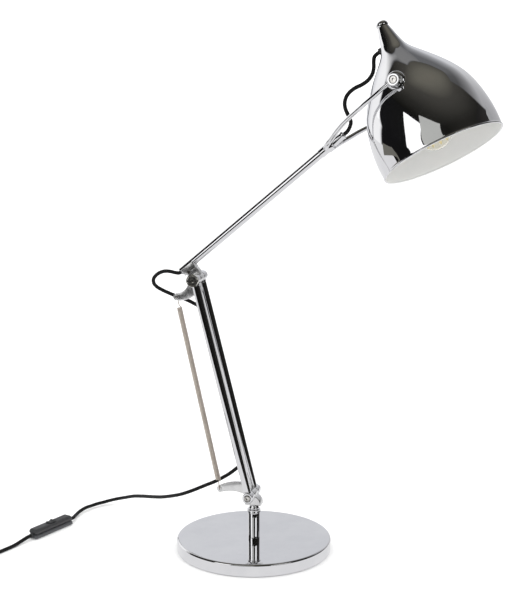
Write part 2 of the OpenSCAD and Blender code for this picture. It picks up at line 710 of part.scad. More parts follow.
module lampholder() {
  t1 = holder_top + holder_len;
  color("whitesmoke") shade_frame() difference() {
    rotate_extrude() polygon([[0, drop_at(holder_top)], [holder_r - 5, drop_at(holder_top)],
      [holder_r - 1, drop_at(holder_top + 5)], [holder_r - 1, drop_at(holder_top + holder_step - 1)],
      [holder_r, drop_at(holder_top + holder_step)], [holder_r, drop_at(t1)], [0, drop_at(t1)]]);
    translate([0, 0, drop_at(holder_top + 5) - seat]) cylinder(r = nipple_r + fit, h = 10);
    translate([0, 0, drop_at(t1 + 1)]) cylinder(r = thread_r + fit, h = thread_len - 2);
    translate([0, 0, drop_at(t1 + 1)]) cylinder(r = holder_r - 2, h = 9);
  }
}
module holder_ring() {
  color("whitesmoke") shade_frame() translate([0, 0, drop_at(holder_top + holder_len - 6)]) difference() {
    cylinder(r = holder_r + 4, h = 5);
    translate([0, 0, -1]) cylinder(r = holder_r + fit, h = 7);
    for (a = [0 : 30 : 330]) rotate([0, 0, a]) translate([holder_r + 4.6, 0, -1]) cylinder(r = 1.4, h = 7);
  }
}
module bulb_cap() {
  t0 = glass_top - thread_len;
  color("lightgray") shade_frame() rotate_extrude() polygon([[0, drop_at(t0)], [3, drop_at(t0)],
    [thread_r - 0.6, drop_at(t0 + 4)], [thread_r, drop_at(t0 + 6)], [thread_r, drop_at(glass_top) + seat],
    [0, drop_at(glass_top) + seat]]);
}
// The globe runs up into the neck on a smooth curve
module bulb_outline(inset) {
  globe_r = bulb_d / 2;
  neck = thread_r + 1.5;
  tc = glass_top + glass_len - globe_r;
  a0 = 128;
  start = [globe_r * sin(a0), drop_at(tc) - globe_r * cos(a0)];
  bend = [neck, drop_at(glass_top + 12)];
  top = [neck, drop_at(glass_top)];
  mid = [for (s = [0 : 0.125 : 1]) bezier([top, bend, start], s)];
  ball = [for (a = [a0 : -8 : 0]) [globe_r * sin(a), drop_at(tc) - globe_r * cos(a)]];
  all = concat(mid, ball);
  polygon(concat([[0, drop_at(glass_top)]], [for (p = all) [max(p[0] - inset, 0), p[1]]],
    [[0, drop_at(glass_top + glass_len - inset)]]));
}
module bulb_glass() {
  color("ivory") shade_frame() rotate_extrude() difference() {
    bulb_outline(0);
    bulb_outline(glass_wall);
  }
}
module pivot_bosses() {
  color("silver") shade_frame() for (s = [0, 1]) mirror([0, s, 0]) difference() {
    union() {
      y_cyl(pivot_boss_r, pivot_bell_r - 6, pivot_bell_r + boss_len);
      y_cyl(pivot_flange_r, pivot_bell_r - 9, pivot_bell_r + pivot_flange_h - 1);
      translate([0, pivot_bell_r + pivot_flange_h - 1, 0]) rotate([-90, 0, 0])
        cylinder(r1 = pivot_flange_r, r2 = pivot_boss_r - 0.2, h = boss_len - pivot_flange_h - 1);
    }
    bell_solid(seat);
    y_cyl(pivot_r + fit, pivot_in, pivot_bell_r + boss_len + 1);
  }
}
module pivot_screws() {
  color("gainsboro") shade_frame() for (s = [0, 1]) mirror([0, s, 0]) difference() {
    union() {
      y_cyl(pivot_r, pivot_in + seat, disc_out - pivot_head_t + 1);
      y_cyl(pivot_head_r, disc_out - pivot_head_t + 0.4 + seat, disc_out + 0.4);
    }
    translate([0, disc_out + 1, 0]) rotate([90, 0, 0]) hex_recess(3, 2.4);
  }
}
module shade_grommet() {
  r = bell(grommet_at);
  color("black") shade_frame() translate([0, 0, drop_at(grommet_at)]) difference() {
    union() {
      difference() {
        x_cyl(grommet_flange, -r - grommet_lip - 1, -r + 3);
        translate([0, 0, -drop_at(grommet_at)]) bell_solid(seat);
      }
      x_cyl(grommet_r, -r - grommet_lip, -r + shade_wall + 1);
    }
    x_cyl(cord_r + fit, -2 * r, 0);
  }
}

// Balance spring: hooks through both horns, one unbroken wire between
function turn_y(v, a) = [v[0] * cos(a) + v[2] * sin(a), v[1], v[2] * cos(a) - v[0] * sin(a)];
lower_pivot = [-pivot_back, 0, pivot_z];
elbow_pivot = lower_pivot + lower_len * [-sin(lower_tilt), 0, cos(lower_tilt)];
hook_a = lower_pivot + [head_horn[2][0], 0, head_horn[2][1]];
hook_b = elbow_pivot + [elbow_horn[2][0], 0, elbow_horn[2][1]];
spring_axis = unit(hook_b - hook_a);
spring_side = cross([0, 1, 0], spring_axis);
spring_len = norm(hook_b - hook_a);
// The hook's middle line: its distance along the spring and across the horn
hook_line = [[0.3, 4], [0.3, 1.5], [0.3, -1.5], [0.6, -3], [2, -3.9], [4, -3.4], [6.5, -1.6]];
function low_hook(p) = hook_a + p[0] * spring_axis + [0, p[1], 0];
function high_hook(p) = hook_b - p[0] * spring_axis - [0, p[1], 0];
coil_count = spring_turns * curl_rings;
function curl(k) =
  let (s = hook_low + (spring_len - hook_low - hook_high) * k / coil_count, a = 360 * k / curl_rings,
       r = coil_mid_r * min(1, k / ramp, (coil_count - k) / ramp))
  hook_a + s * spring_axis + r * (cos(a) * spring_side + [0, sin(a), 0]);
curls = [for (k = [0 : coil_count]) curl(k)];
function curl_wire(k) = hook_r + (wire_r - hook_r) * min(1, k / ramp, (coil_count - k) / ramp);
module balance_spring() {
  path = concat([for (p = hook_line) low_hook(p)], curls, backwards([for (p = hook_line) high_hook(p)]));
  hooks = [for (p = hook_line) hook_r];
  radii = concat(hooks, [for (k = [0 : coil_count]) curl_wire(k)], hooks);
  echo(spring_least_gap = least_gap(path, radii, curl_rings / 2, 3 * curl_rings));
  color("tan") swept_tube(path, radii, wire_sides, [1, 0, 0.2]);
}

// Cords
module shade_cable() { color("black") cord(shade_route); }
module elbow_cable() { color("black") cord(elbow_route); }
module mains_cord_drop() { color("black") cord(drop_route); }
module mains_cord_lay() { color("black") cord(lay_route); }
module mains_cord_tail() { color("black") cord(tail_route); }
// The coil spirals in on the table, climbs a layer where it turns back, and spirals out again
function smooth(x) = let (s = min(max(x, 0), 1)) s * s * (3 - 2 * s);
function loop_point(k) =
  let (n = k / loop_rings, half = coil_turns / 2, r = coil_r - coil_step * (half - abs(n - half)),
       z = coil_z + coil_step * smooth((n - half + 0.25) / 0.5))
  [coil_at[0] + r * cos(-360 * n), coil_at[1] + r * sin(-360 * n), z];
loops = [for (k = [0 : coil_turns * loop_rings]) loop_point(k)];
coil_end = loops[len(loops) - 1];
coil_out = coil_end + [0, cord_d, 0];
module cord_coil() {
  path = concat(loops, [coil_out]);
  radii = [for (p = path) cord_r];
  echo(coil_least_gap = least_gap(path, radii, loop_rings / 2, len(path)));
  color("black") swept_tube(path, radii, wire_sides, [0, 0, 1]);
}
// A band round the bundle, across the far side of the coil
module cord_tie() {
  inner = coil_r - coil_step * coil_turns / 2 - cord_r - tie_room;
  outer = coil_r + cord_r + tie_room;
  low = coil_z - cord_r - tie_room;
  high = coil_z + coil_step + cord_r + tie_room;
  middle = [coil_at[0], coil_at[1] + (inner + outer) / 2, (low + high) / 2];
  color("black") translate(middle) rotate([90, 0, 90])
    linear_extrude(tie_w, center = true) difference() {
      rounded_rect(outer - inner + 2 * tie_t, high - low + 2 * tie_t, 2.4);
      rounded_rect(outer - inner, high - low, 2.4 - tie_t);
    }
}

// Inline switch: two half shells, with a rocker in a scoop on top
module switch_outline(len, w, z0, z1, e) {
  intersection() {
    translate([0, 0, z0]) linear_extrude(z1 - z0) rounded_rect(len, w, switch_round);
    translate([0, 0, z1 - 20]) xz_plate(w + 2) translate([0, 10]) rounded_rect(len, 20, e);
    translate([0, 0, z1 - 10]) rotate([0, 90, 0]) linear_extrude(len + 2, center = true)
      rounded_rect(20, w, e - 1);
  }
}
module switch_lower() {
  color([0.2, 0.2, 0.21]) switch_frame() difference() {
    translate([0, 0, switch_split]) mirror([0, 0, 1])
      switch_outline(switch_len + 1, switch_w + 1, 0.1, switch_split, 2.4);
    translate([0, 0, switch_split])
      cube([switch_len - 12, switch_w - 6, 2 * (switch_split - 3)], center = true);
  }
}
module switch_upper() {
  z_pin = switch_h - 2.6;
  color([0.15, 0.15, 0.16]) switch_frame() difference() {
    switch_outline(switch_len, switch_w, switch_split + seat, switch_h, 4.5);
    translate([0, 0, switch_h + scoop_r - scoop_deep]) y_cyl(scoop_r, -switch_w, switch_w);
    translate([0, 0, switch_h])
      cube([rocker_len + 1, rocker_w + 0.8, 2 * (switch_h - switch_split - 1.2)], center = true);
    translate([0, 0, z_pin]) y_cyl(rocker_pin_r + fit, -rocker_w / 2 - 2.5, rocker_w / 2 + 2.5);
  }
}
module switch_rocker() {
  z_pin = switch_h - 2.6;
  color([0.1, 0.1, 0.1]) switch_frame() translate([0, 0, z_pin]) rotate([0, rocker_tilt, 0]) {
    xz_plate(rocker_w) polygon([[-rocker_len / 2 + 0.4, -2.4], [rocker_len / 2 - 0.4, -2.4],
      [rocker_len / 2 - 1, 1.4], [rocker_len / 2 - 2.4, rocker_rise + 2], [0, rocker_rise + 0.4],
      [-rocker_len / 2 + 2.4, rocker_rise + 2], [-rocker_len / 2 + 1, 1.4]]);
    y_cyl(rocker_pin_r, -rocker_w / 2 - 2.2, rocker_w / 2 + 2.2);
  }
}
module switch_reliefs() {
  x0 = switch_len / 2 + 0.5 + seat;
  color([0.1, 0.1, 0.1]) switch_frame() for (s = [0, 1]) mirror([s, 0, 0])
    translate([0, 0, switch_split]) rotate([0, 90, 0]) rotate_extrude()
      polygon([[0, x0], [relief_r, x0], [relief_r, x0 + 1], [cord_r + 0.7, x0 + relief_len],
               [0, x0 + relief_len]]);
}

// Plug: flat tapered body with two round pins, on the end of the coil
module plug_frame() { translate(coil_out + [0, seat, 0]) children(); }
module plug_relief() {
  color([0.1, 0.1, 0.1]) plug_frame() rotate([-90, 0, 0]) rotate_extrude()
    polygon(concat([[0, 0], [cord_r + 0.6, 0]],
      [for (i = [0 : 4], e = [0, 1]) [cord_r + 0.8 + 0.32 * i + (e == 0 ? 0.5 : 0), 2 + 4 * i + 2.4 * e]],
      [[cord_r + 2.6, plug_relief_len - seat], [0, plug_relief_len - seat]]));
}
module plug_body() {
  color([0.1, 0.1, 0.1]) plug_frame() translate([0, plug_relief_len, 0]) intersection() {
    linear_extrude(plug_h, center = true) polygon([[-plug_tail_w / 2, 0], [plug_tail_w / 2, 0],
      [plug_w / 2 - 1, plug_len - 14], [plug_w / 2, plug_len - 8], [plug_w / 2, plug_len],
      [-plug_w / 2, plug_len], [-plug_w / 2, plug_len - 8], [1 - plug_w / 2, plug_len - 14]]);
    rotate([-90, 0, 0]) linear_extrude(plug_len) rounded_rect(plug_w, plug_h - 0.2, 5);
  }
}
module plug_pins() {
  color("lightgray") plug_frame() translate([0, plug_relief_len + plug_len + seat, 0])
    for (s = [-1, 1]) translate([s * pin_pitch / 2, 0, 0]) {
      y_cyl(pin_r, 0, pin_len - pin_r);
      translate([0, pin_len - pin_r, 0]) sphere(pin_r);
    }
}

base_cover();
base_weight();
base_pad();
post();
post_washer();
post_nut();
swivel_grub();
swivel_stem();
head_casting();
foot_bolt();
foot_cap_nut();
foot_washers();
foot_eyes();
lower_tube_near();
lower_tube_far();
top_eyes();
cable_grommet_in();
cable_grommet_out();
lower_arm_cable();
elbow_bolt();
elbow_cap_nut();
elbow_washers();
elbow_casting();
saddle_screw();
upper_tube();
upper_tube_bush();
upper_arm_cable();
yoke_sleeve();
yoke_grub();
yoke_rod_near();
yoke_rod_far();
pivot_screws();
pivot_bosses();
shade_shell();
shade_lining();
tip_cap();
holder_nipple();
lampholder();
holder_ring();
bulb_cap();
bulb_glass();
shade_grommet();
balance_spring();
shade_cable();
elbow_cable();
mains_cord_drop();
mains_cord_lay();
switch_lower();
switch_upper();
switch_rocker();
switch_reliefs();
mains_cord_tail();
cord_coil();
cord_tie();
plug_relief();
plug_body();
plug_pins();
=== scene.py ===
# %% [markdown]
# # A jointed table lamp in polished chrome
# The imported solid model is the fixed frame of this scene. It says where every pivot, tube and screw is,
# and how the lamp moves. This lesson dresses it: each part that shows is modelled again with smooth, fine
# faces, because a mirror finish shows every flat facet, and each part gets a finish made of shader nodes.

# %% Load the frame
import math

import bpy
from mathutils import Matrix, Vector


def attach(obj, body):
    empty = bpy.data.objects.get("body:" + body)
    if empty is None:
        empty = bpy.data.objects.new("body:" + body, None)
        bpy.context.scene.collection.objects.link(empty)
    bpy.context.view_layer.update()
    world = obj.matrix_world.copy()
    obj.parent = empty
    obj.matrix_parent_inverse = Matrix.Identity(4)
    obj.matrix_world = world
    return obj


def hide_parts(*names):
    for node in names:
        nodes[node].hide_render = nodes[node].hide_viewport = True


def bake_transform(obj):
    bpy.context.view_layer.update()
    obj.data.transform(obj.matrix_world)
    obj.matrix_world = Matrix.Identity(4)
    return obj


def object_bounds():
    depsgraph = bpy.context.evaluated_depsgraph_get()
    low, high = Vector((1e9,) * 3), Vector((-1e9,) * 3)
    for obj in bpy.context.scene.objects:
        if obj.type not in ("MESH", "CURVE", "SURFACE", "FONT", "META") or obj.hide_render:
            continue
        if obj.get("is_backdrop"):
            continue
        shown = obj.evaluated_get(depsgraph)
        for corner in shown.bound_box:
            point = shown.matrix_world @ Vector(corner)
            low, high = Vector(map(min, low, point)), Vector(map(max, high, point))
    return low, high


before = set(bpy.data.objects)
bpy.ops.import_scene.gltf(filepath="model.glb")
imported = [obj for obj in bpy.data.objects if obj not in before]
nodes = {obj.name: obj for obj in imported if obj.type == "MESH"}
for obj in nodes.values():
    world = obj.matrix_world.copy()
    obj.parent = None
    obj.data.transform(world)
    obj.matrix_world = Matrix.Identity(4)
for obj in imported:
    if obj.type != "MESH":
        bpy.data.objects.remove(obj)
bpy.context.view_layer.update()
MM = 0.001

# %% [markdown]
# ## The camera
# The photograph looks down on the lamp a little, from its front right. The camera stands about 1.8 m away
# with a long lens, so the arms keep their true proportions. It is made first.

# %% Set the camera
VIEW_TURN, VIEW_TILT = 15.612, 78.667
bpy.ops.object.select_all(action="DESELECT")
bpy.ops.object.camera_add(location=(0.48256, -1.69739, 0.68414),
                          rotation=(math.radians(VIEW_TILT), 0, math.radians(VIEW_TURN)))
camera = bpy.context.object
camera.name = "photo_camera"
camera.data.sensor_width = 36
camera.data.lens = 85.66
bpy.context.scene.camera = camera
print("camera at", [round(x, 2) for x in camera.location], "lens", camera.data.lens)

# %% [markdown]
# ## The lamp's own places
# Every part is easiest to model at the origin, in millimetres, and upright. These matrices then carry it to
# its place on the lamp: up the leaning lower arm, along the upper arm, round the rolled yoke and into the
# tilted shade. Each one starts from the one before, as the real parts do.

# %% Work out the places
LOWER_LEAN, UPPER_RISE, YOKE_ROLL, SHADE_LEAN = 14.2, 40.5, 12.7, 29.6
LOWER_LEN, SADDLE_RISE, YOKE_REACH, YOKE_DROP = 290, 19.3, 363.6, 9.1
TUBE_R, TUBE_IN, TUBE_Y, BOSS_HALF = 5, 4, 13.5, 7.5


def turn(axis, degrees):
    return Matrix.Rotation(math.radians(degrees), 4, axis)


def shift(x, y, z):
    return Matrix.Translation((x, y, z))


scale_down = Matrix.Scale(MM, 4)
on_table = scale_down
at_foot = scale_down @ shift(-3, 0, 74)
along_lower = at_foot @ turn("Y", -LOWER_LEAN)
at_elbow = along_lower @ shift(0, 0, LOWER_LEN) @ turn("Y", LOWER_LEAN)
on_saddle = at_elbow @ turn("Y", -UPPER_RISE)
along_upper = on_saddle @ shift(0, 0, SADDLE_RISE)
on_yoke = along_upper @ turn("X", -YOKE_ROLL)
in_shade = on_yoke @ shift(YOKE_REACH, 0, -YOKE_DROP) @ turn("Y", UPPER_RISE - SHADE_LEAN)
at_switch = scale_down @ shift(-281, -12.9, 0) @ turn("Z", -108.8)
at_plug = scale_down @ shift(-390, -143.75, 7.8)
for label, place in (("elbow", at_elbow), ("shade", in_shade)):
    print(label, "at", [round(x, 4) for x in place.translation])

# %% [markdown]
# ## Finishes
# A finish is a Principled shader with a little life in it. Polished chrome is never perfectly even: wiping
# leaves faint haze, so noise nodes vary the roughness, and a very fine bump breaks the reflections. What is
# the same all over is set on the shader's own socket, and only what varies is linked. The noise reads
# Object coordinates, so it stays on the part when the part moves.

# %% A helper for finishes
def finish(name, colour, tint=None, metal=0.0, rough=(0.4, 0.5), grain=200, bump=0.0, bump_grain=900):
    made = bpy.data.materials.new(name)
    made.use_nodes = True
    tree = made.node_tree
    shader = tree.nodes["Principled BSDF"]
    shader.inputs["Base Color"].default_value = (*colour, 1)
    shader.inputs["Metallic"].default_value = metal
    join = tree.links.new

    def add(kind, **sockets):
        step = tree.nodes.new("ShaderNode" + kind)
        for socket, value in sockets.items():
            step.inputs[socket.replace("_", " ")].default_value = value
        return step

    place = add("TexCoord")
    haze = add("TexNoise", Scale=grain, Detail=4)
    span = add("MapRange", From_Min=0.3, From_Max=0.7, To_Min=rough[0], To_Max=rough[1])
    join(place.outputs["Object"], haze.inputs["Vector"])
    join(haze.outputs["Fac"], span.inputs["Value"])
    join(span.outputs["Result"], shader.inputs["Roughness"])
    if tint:
        shades = add("ValToRGB")
        for stop, spot, tone in zip(shades.color_ramp.elements, (0.35, 0.65), (colour, tint)):
            stop.position, stop.color = spot, (*tone, 1)
        join(haze.outputs["Fac"], shades.inputs["Fac"])
        join(shades.outputs["Color"], shader.inputs["Base Color"])
    if bump:
        fine = add("TexNoise", Scale=bump_grain, Detail=3)
        dents = add("Bump", Strength=bump, Distance=0.0002)
        join(place.outputs["Object"], fine.inputs["Vector"])
        join(fine.outputs["Fac"], dents.inputs["Height"])
        join(dents.outputs["Normal"], shader.inputs["Normal"])
    return made


def set_socket(material, socket, value):
    material.node_tree.nodes["Principled BSDF"].inputs[socket].default_value = value


# %% Make the metal finishes
chrome = finish("polished_chrome", (0.80, 0.80, 0.81), (0.76, 0.76, 0.775), 1, (0.02, 0.05), 35, 0.012, 300)
cast_chrome = finish("cast_chrome", (0.80, 0.80, 0.80), (0.75, 0.75, 0.75), 1, (0.20, 0.27), 90, 0.05, 700)
screw_steel = finish("bright_screw_steel", (0.72, 0.71, 0.69), (0.62, 0.60, 0.57), 1, (0.14, 0.26), 400,
                     0.05, 2500)
satin_steel = finish("satin_bolt_steel", (0.66, 0.65, 0.61), (0.54, 0.53, 0.49), 1, (0.15, 0.24), 300,
                     0.06, 1500)
dark_steel = finish("dark_screw_steel", (0.30, 0.29, 0.27), (0.22, 0.21, 0.20), 1, (0.2, 0.32), 400,
                    0.05, 2500)
spring_nickel = finish("spring_wire", (0.78, 0.71, 0.64), (0.68, 0.61, 0.54), 0.8, (0.34, 0.46), 500,
                       0.08, 4000)
cast_iron = finish("cast_iron_weight", (0.07, 0.07, 0.075), (0.11, 0.105, 0.10), 0.6, (0.6, 0.75), 120,
                   0.5, 600)

# %% Make the other finishes
pad_rubber = finish("pad_rubber", (0.018, 0.018, 0.018), (0.032, 0.032, 0.03), 0, (0.8, 0.92), 300,
                    0.6, 1800)
rubber = finish("grommet_rubber", (0.016, 0.016, 0.016), (0.028, 0.028, 0.028), 0, (0.5, 0.65), 500,
                0.15, 3000)
nylon = finish("washer_nylon", (0.80, 0.80, 0.78), (0.74, 0.74, 0.71), 0, (0.35, 0.5), 500, 0.08, 2500)
flex = finish("cord_pvc", (0.004, 0.004, 0.0045), (0.008, 0.008, 0.008), 0, (0.5, 0.62), 260, 0.10, 1500)
set_socket(flex, "Specular IOR Level", 0.22)
switch_shell = finish("switch_charcoal", (0.026, 0.027, 0.029), (0.034, 0.035, 0.037), 0, (0.42, 0.55), 320,
                      0.35, 2600)
switch_base = finish("switch_grey", (0.060, 0.062, 0.066), (0.075, 0.077, 0.082), 0, (0.42, 0.55), 320,
                     0.35, 2600)
enamel = finish("white_enamel", (0.755, 0.755, 0.745), (0.735, 0.738, 0.73), 0, (0.30, 0.42), 60, 0.04, 900)
holder_plastic = finish("holder_plastic", (0.78, 0.77, 0.74), (0.72, 0.71, 0.68), 0, (0.3, 0.45), 250,
                        0.06, 1200)
brass = finish("nipple_brass", (0.72, 0.52, 0.24), (0.62, 0.43, 0.19), 1, (0.2, 0.35), 300, 0.05, 2000)
phosphor = finish("filament_phosphor", (0.90, 0.79, 0.48), (0.93, 0.85, 0.60), 0, (0.5, 0.6), 900, 0.1, 3000)
glass = finish("bulb_clear_glass", (1, 0.982, 0.92), None, 0, (0.0, 0.02), 60)
set_socket(glass, "Transmission Weight", 1)
set_socket(glass, "IOR", 1.15)
print("finishes:", len([m for m in bpy.data.materials if m.use_nodes]))

# %% [markdown]
# ## The cords
# The flex leaves the far tube near its foot, falls behind the lamp to the table, runs to the inline switch,
# and ends in a plug beside a put-away coil. Two short lengths loop past the elbow and up into the shade. A
# cord is one smooth line with a round section, so its points become a curve with a bevel, which is then
# turned into a mesh.

# %% Draw a smooth line through points
def curve_between(a, leave, b, arrive, t):
    return (a * (2 * t**3 - 3 * t**2 + 1) + leave * (t**3 - 2 * t**2 + t)
            + b * (3 * t**2 - 2 * t**3) + arrive * (t**3 - t**2))


def smooth_line(points, per_span):
    pts = [Vector(p) for p in points]
    gaps = [(b - a).length for a, b in zip(pts, pts[1:])]
    slopes = [(b - a) / g for a, b, g in zip(pts, pts[1:], gaps)]
    tangents = [slopes[0]]
    for i in range(1, len(pts) - 1):
        tangents.append((slopes[i - 1] * gaps[i] + slopes[i] * gaps[i - 1]) / (gaps[i - 1] + gaps[i]))
    tangents.append(slopes[-1])
    line = []
    for i, gap in enumerate(gaps):
        leave, arrive = tangents[i] * gap, tangents[i + 1] * gap
        line += [curve_between(pts[i], leave, pts[i + 1], arrive, k / per_span) for k in range(per_span)]
    line.append(pts[-1])
    return line


# %% Helpers for one piece in edit mode
def only(piece):
    bpy.ops.object.select_all(action="DESELECT")
    piece.select_set(True)
    bpy.context.view_layer.objects.active = piece


def named(name):
    piece = bpy.context.object
    piece.name = piece.data.name = name
    return piece


def merge_doubles(apart):
    bpy.ops.mesh.select_all(action="SELECT")
    bpy.ops.mesh.remove_doubles(threshold=apart)


def face_outwards():
    bpy.ops.mesh.select_all(action="SELECT")
    bpy.ops.mesh.normals_make_consistent(inside=False)
    bpy.ops.object.mode_set(mode="OBJECT")


# %% Turn a line into a round bar
def round_bar(name, line, radii, sides=12):
    curve = bpy.data.curves.new(name, "CURVE")
    curve.dimensions = "3D"
    curve.bevel_depth = 1
    curve.bevel_resolution = (sides - 4) // 2
    curve.use_fill_caps = True
    spline = curve.splines.new("POLY")
    spline.points.add(len(line) - 1)
    for point, place, radius in zip(spline.points, line, radii):
        point.co = (*place, 1)
        point.radius = radius
    piece = bpy.data.objects.new(name, curve)
    bpy.context.scene.collection.objects.link(piece)
    only(piece)
    bpy.ops.object.convert(target="MESH")
    piece = named(name)
    bpy.ops.object.mode_set(mode="EDIT")
    merge_doubles(1e-7)
    face_outwards()
    bpy.ops.object.shade_smooth_by_angle(angle=math.radians(50))
    return piece


# %% Make one stretch of cord
def wear(piece, material, replaced=()):
    piece.data.materials.clear()
    piece.data.materials.append(material)
    if replaced:
        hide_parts(*replaced)


CORD_D = 4.8


def cord_piece(name, points, per_span, replaced):
    line = [p * MM for p in smooth_line(points, per_span)]
    piece = round_bar(name, line, [CORD_D / 2 * MM] * len(line))
    wear(piece, flex, replaced)
    length = sum((b - a).length for a, b in zip(line, line[1:]))
    print(f"{name}: {length * 1000:.0f} mm")
    return piece, line, length


# %% Lay the cords
drop_route = [(-18.57, 13.5, 107.2), (-22.1, 13.5, 106.2), (-25.4, 13.6, 104), (-28.7, 13.8, 101.1),
              (-36.4, 14.4, 94.6), (-47.8, 15.1, 86.8), (-58.3, 15.7, 80.5), (-64.5, 15.9, 77.4)]
lay_route = [(-64.5, 15.9, 77.4), (-70.2, 16, 74.7), (-79.2, 16, 70.2), (-91.2, 16.2, 64.4),
             (-104.6, 18.5, 58.3), (-121.9, 27.6, 51), (-141.3, 42.1, 42.8), (-162.3, 60.3, 35),
             (-184.2, 79.7, 27.3), (-203.6, 95.6, 20.1), (-219.7, 106, 13.2), (-233.4, 109.9, 8.6),
             (-243.3, 107.8, 6), (-250.8, 101.8, 4.7), (-256.5, 93.5, 4.8), (-261.7, 83.7, 4.6),
             (-265.7, 73.2, 5), (-268.3, 61.3, 4.6), (-268.9, 48.6, 4.1), (-267.8, 38.4, 4.6),
             (-266.9, 29.2, 5.2), (-268.1, 24.9, 5.2)]
tail_route = [(-293.9, -50.7, 5.2), (-295.2, -54.7, 5.2), (-298.4, -66, 4), (-302.4, -80, 2.4),
              (-307, -94, 2.2), (-312, -108, 2.2), (-317, -123, 2.4), (-320.8, -135, 3), (-322, -143.8, 3)]
elbow_route = [(-95.8, 0, 362), (-98.6, 0, 360.4), (-103, 0, 360.4), (-110, 0, 361.6),
               (-117, 0.4, 361.8), (-124.6, 1.2, 359.6), (-131, 2.2, 355.2), (-134.8, 3.4, 349.8),
               (-134.8, 4.6, 344.4), (-130.8, 6, 339.4), (-124.4, 7.4, 335.6), (-116.4, 8.6, 332),
               (-108, 9.8, 328.6), (-98, 11, 325.2), (-88.7, 12.4, 321.6), (-81.5, 13.3, 318),
               (-76.2, 13.5, 316.1), (-71.7, 13.5, 317.07)]
shade_route = [(114.2, 0, 541.4), (117.4, 0.1, 544.2), (120.6, 0.5, 549.6), (121.8, 1.4, 556.6),
               (119.4, 2.8, 561.6), (116.4, 4, 566.8), (113.8, 5.4, 572.4), (112.8, 6.5, 578),
               (114.6, 7.6, 586), (118.4, 8, 591.2), (125, 8, 596.4), (133.6, 7.7, 600.6),
               (141.4, 7.6, 606.4), (146.2, 8.2, 614), (147.4, 9.2, 621.4), (147, 10.2, 628),
               (147.8, 11, 634), (151.61, 11.03, 637.68), (155.68, 10.83, 640.02)]

# %% Wind the put-away length
COIL_X, COIL_Y, COIL_OUT, COIL_LOW = -356, -148, 34, 3
COIL_TURNS, COIL_STEP, PER_TURN = 7.5, 4.8, 24


def coil_point(k):
    n, half = k / PER_TURN, COIL_TURNS / 2
    r = COIL_OUT - COIL_STEP * (half - abs(n - half))
    climb = min(max((n - half + 0.25) / 0.5, 0), 1)
    angle = math.radians(-360 * n)
    return (COIL_X + r * math.cos(angle), COIL_Y + r * math.sin(angle),
            COIL_LOW + COIL_STEP * climb * climb * (3 - 2 * climb))


coil_route = [coil_point(k) for k in range(int(COIL_TURNS * PER_TURN) + 1)] + [(-390, -143.8, 7.8)]
drop_cord, drop_line, drop_len = cord_piece("flex_from_arm", drop_route, 4, ["mains_cord_drop"])
lay_cord, lay_line, lay_len = cord_piece("flex_to_switch", lay_route, 4, ["mains_cord_lay"])
tail_cord, tail_line, tail_len = cord_piece("flex_to_plug", tail_route + coil_route, 3,
                                            ["mains_cord_tail", "cord_coil"])
elbow_cord, elbow_line, elbow_len = cord_piece("flex_at_elbow", elbow_route, 4, ["elbow_cable"])
shade_cord, shade_line, shade_len = cord_piece("flex_to_shade", shade_route, 4, ["shade_cable"])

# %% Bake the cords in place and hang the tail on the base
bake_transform(drop_cord)
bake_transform(lay_cord)
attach(tail_cord, "base")
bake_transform(elbow_cord)
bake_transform(shade_cord)
print("mains flex:", round(drop_len + lay_len + tail_len, 3), "m")

# %% [markdown]
# ## Ways of making a part
# Most of the lamp was turned on a lathe, drawn as tube, or cut from plate, so three helpers do most of the
# work. The lathe extrudes one vertex along a half section and spins it. The dowel is a plain round on the
# lathe, for pins and for boring holes. The plate closes an outline with a face and extrudes it. Booleans
# then weld pieces together or bore holes, and a bevel takes the edge off, because no real edge is sharp and
# the thin bright line along it is what makes metal look like metal.

# %% Start a part from one vertex
def begin(name):
    bpy.ops.object.select_all(action="DESELECT")
    bpy.ops.mesh.primitive_plane_add(size=1)
    piece = named(name)
    bpy.ops.object.mode_set(mode="EDIT")
    bpy.ops.mesh.merge(type="CENTER")
    return piece


def draw(points):
    bpy.ops.transform.translate(value=points[0])
    for a, b in zip(points, points[1:]):
        step = [q - p for p, q in zip(a, b)]
        bpy.ops.mesh.extrude_region_move(TRANSFORM_OT_translate={"value": step})


# %% The lathe
SPUN = {"X": lambda r, h: (h, 0, r), "Y": lambda r, h: (r, h, 0), "Z": lambda r, h: (r, 0, h)}
AXES = {"X": (1, 0, 0), "Y": (0, 1, 0), "Z": (0, 0, 1)}


def lathe(name, section, axis="Z", steps=64, at=(0, 0, 0)):
    piece = begin(name)
    ring = list(section) + [section[0]]
    draw([tuple(a + b for a, b in zip(SPUN[axis](r, h), at)) for r, h in ring])
    bpy.ops.mesh.select_all(action="SELECT")
    bpy.ops.mesh.spin(steps=steps, angle=math.tau, center=at, axis=AXES[axis])
    merge_doubles(1e-4)
    bpy.ops.mesh.delete_loose()
    face_outwards()
    return piece


def dowel(name, r, start, end, axis="Y", steps=48, at=(0, 0, 0)):
    return lathe(name, [(0, start), (r, start), (r, end), (0, end)], axis, steps, at)


def mirrored(section, side):
    return [(r, side * along) for r, along in section]


# %% The plate
def plate(name, outline, thick):
    piece = begin(name)
    ring = list(outline) + [outline[0]]
    draw([(x, -thick / 2, z) for x, z in ring])
    merge_doubles(1e-4)
    bpy.ops.mesh.edge_face_add()
    bpy.ops.mesh.extrude_region_move(TRANSFORM_OT_translate={"value": (0, thick, 0)})
    face_outwards()
    return piece


# %% Bevel, weld and bore
def bevel(piece, width, segments=3, angle=40):
    only(piece)
    bpy.ops.object.modifier_add(type="BEVEL")
    edge = piece.modifiers[-1]
    edge.width, edge.segments = width, segments
    edge.limit_method, edge.angle_limit = "ANGLE", math.radians(angle)
    bpy.ops.object.modifier_apply(modifier=edge.name)
    return piece


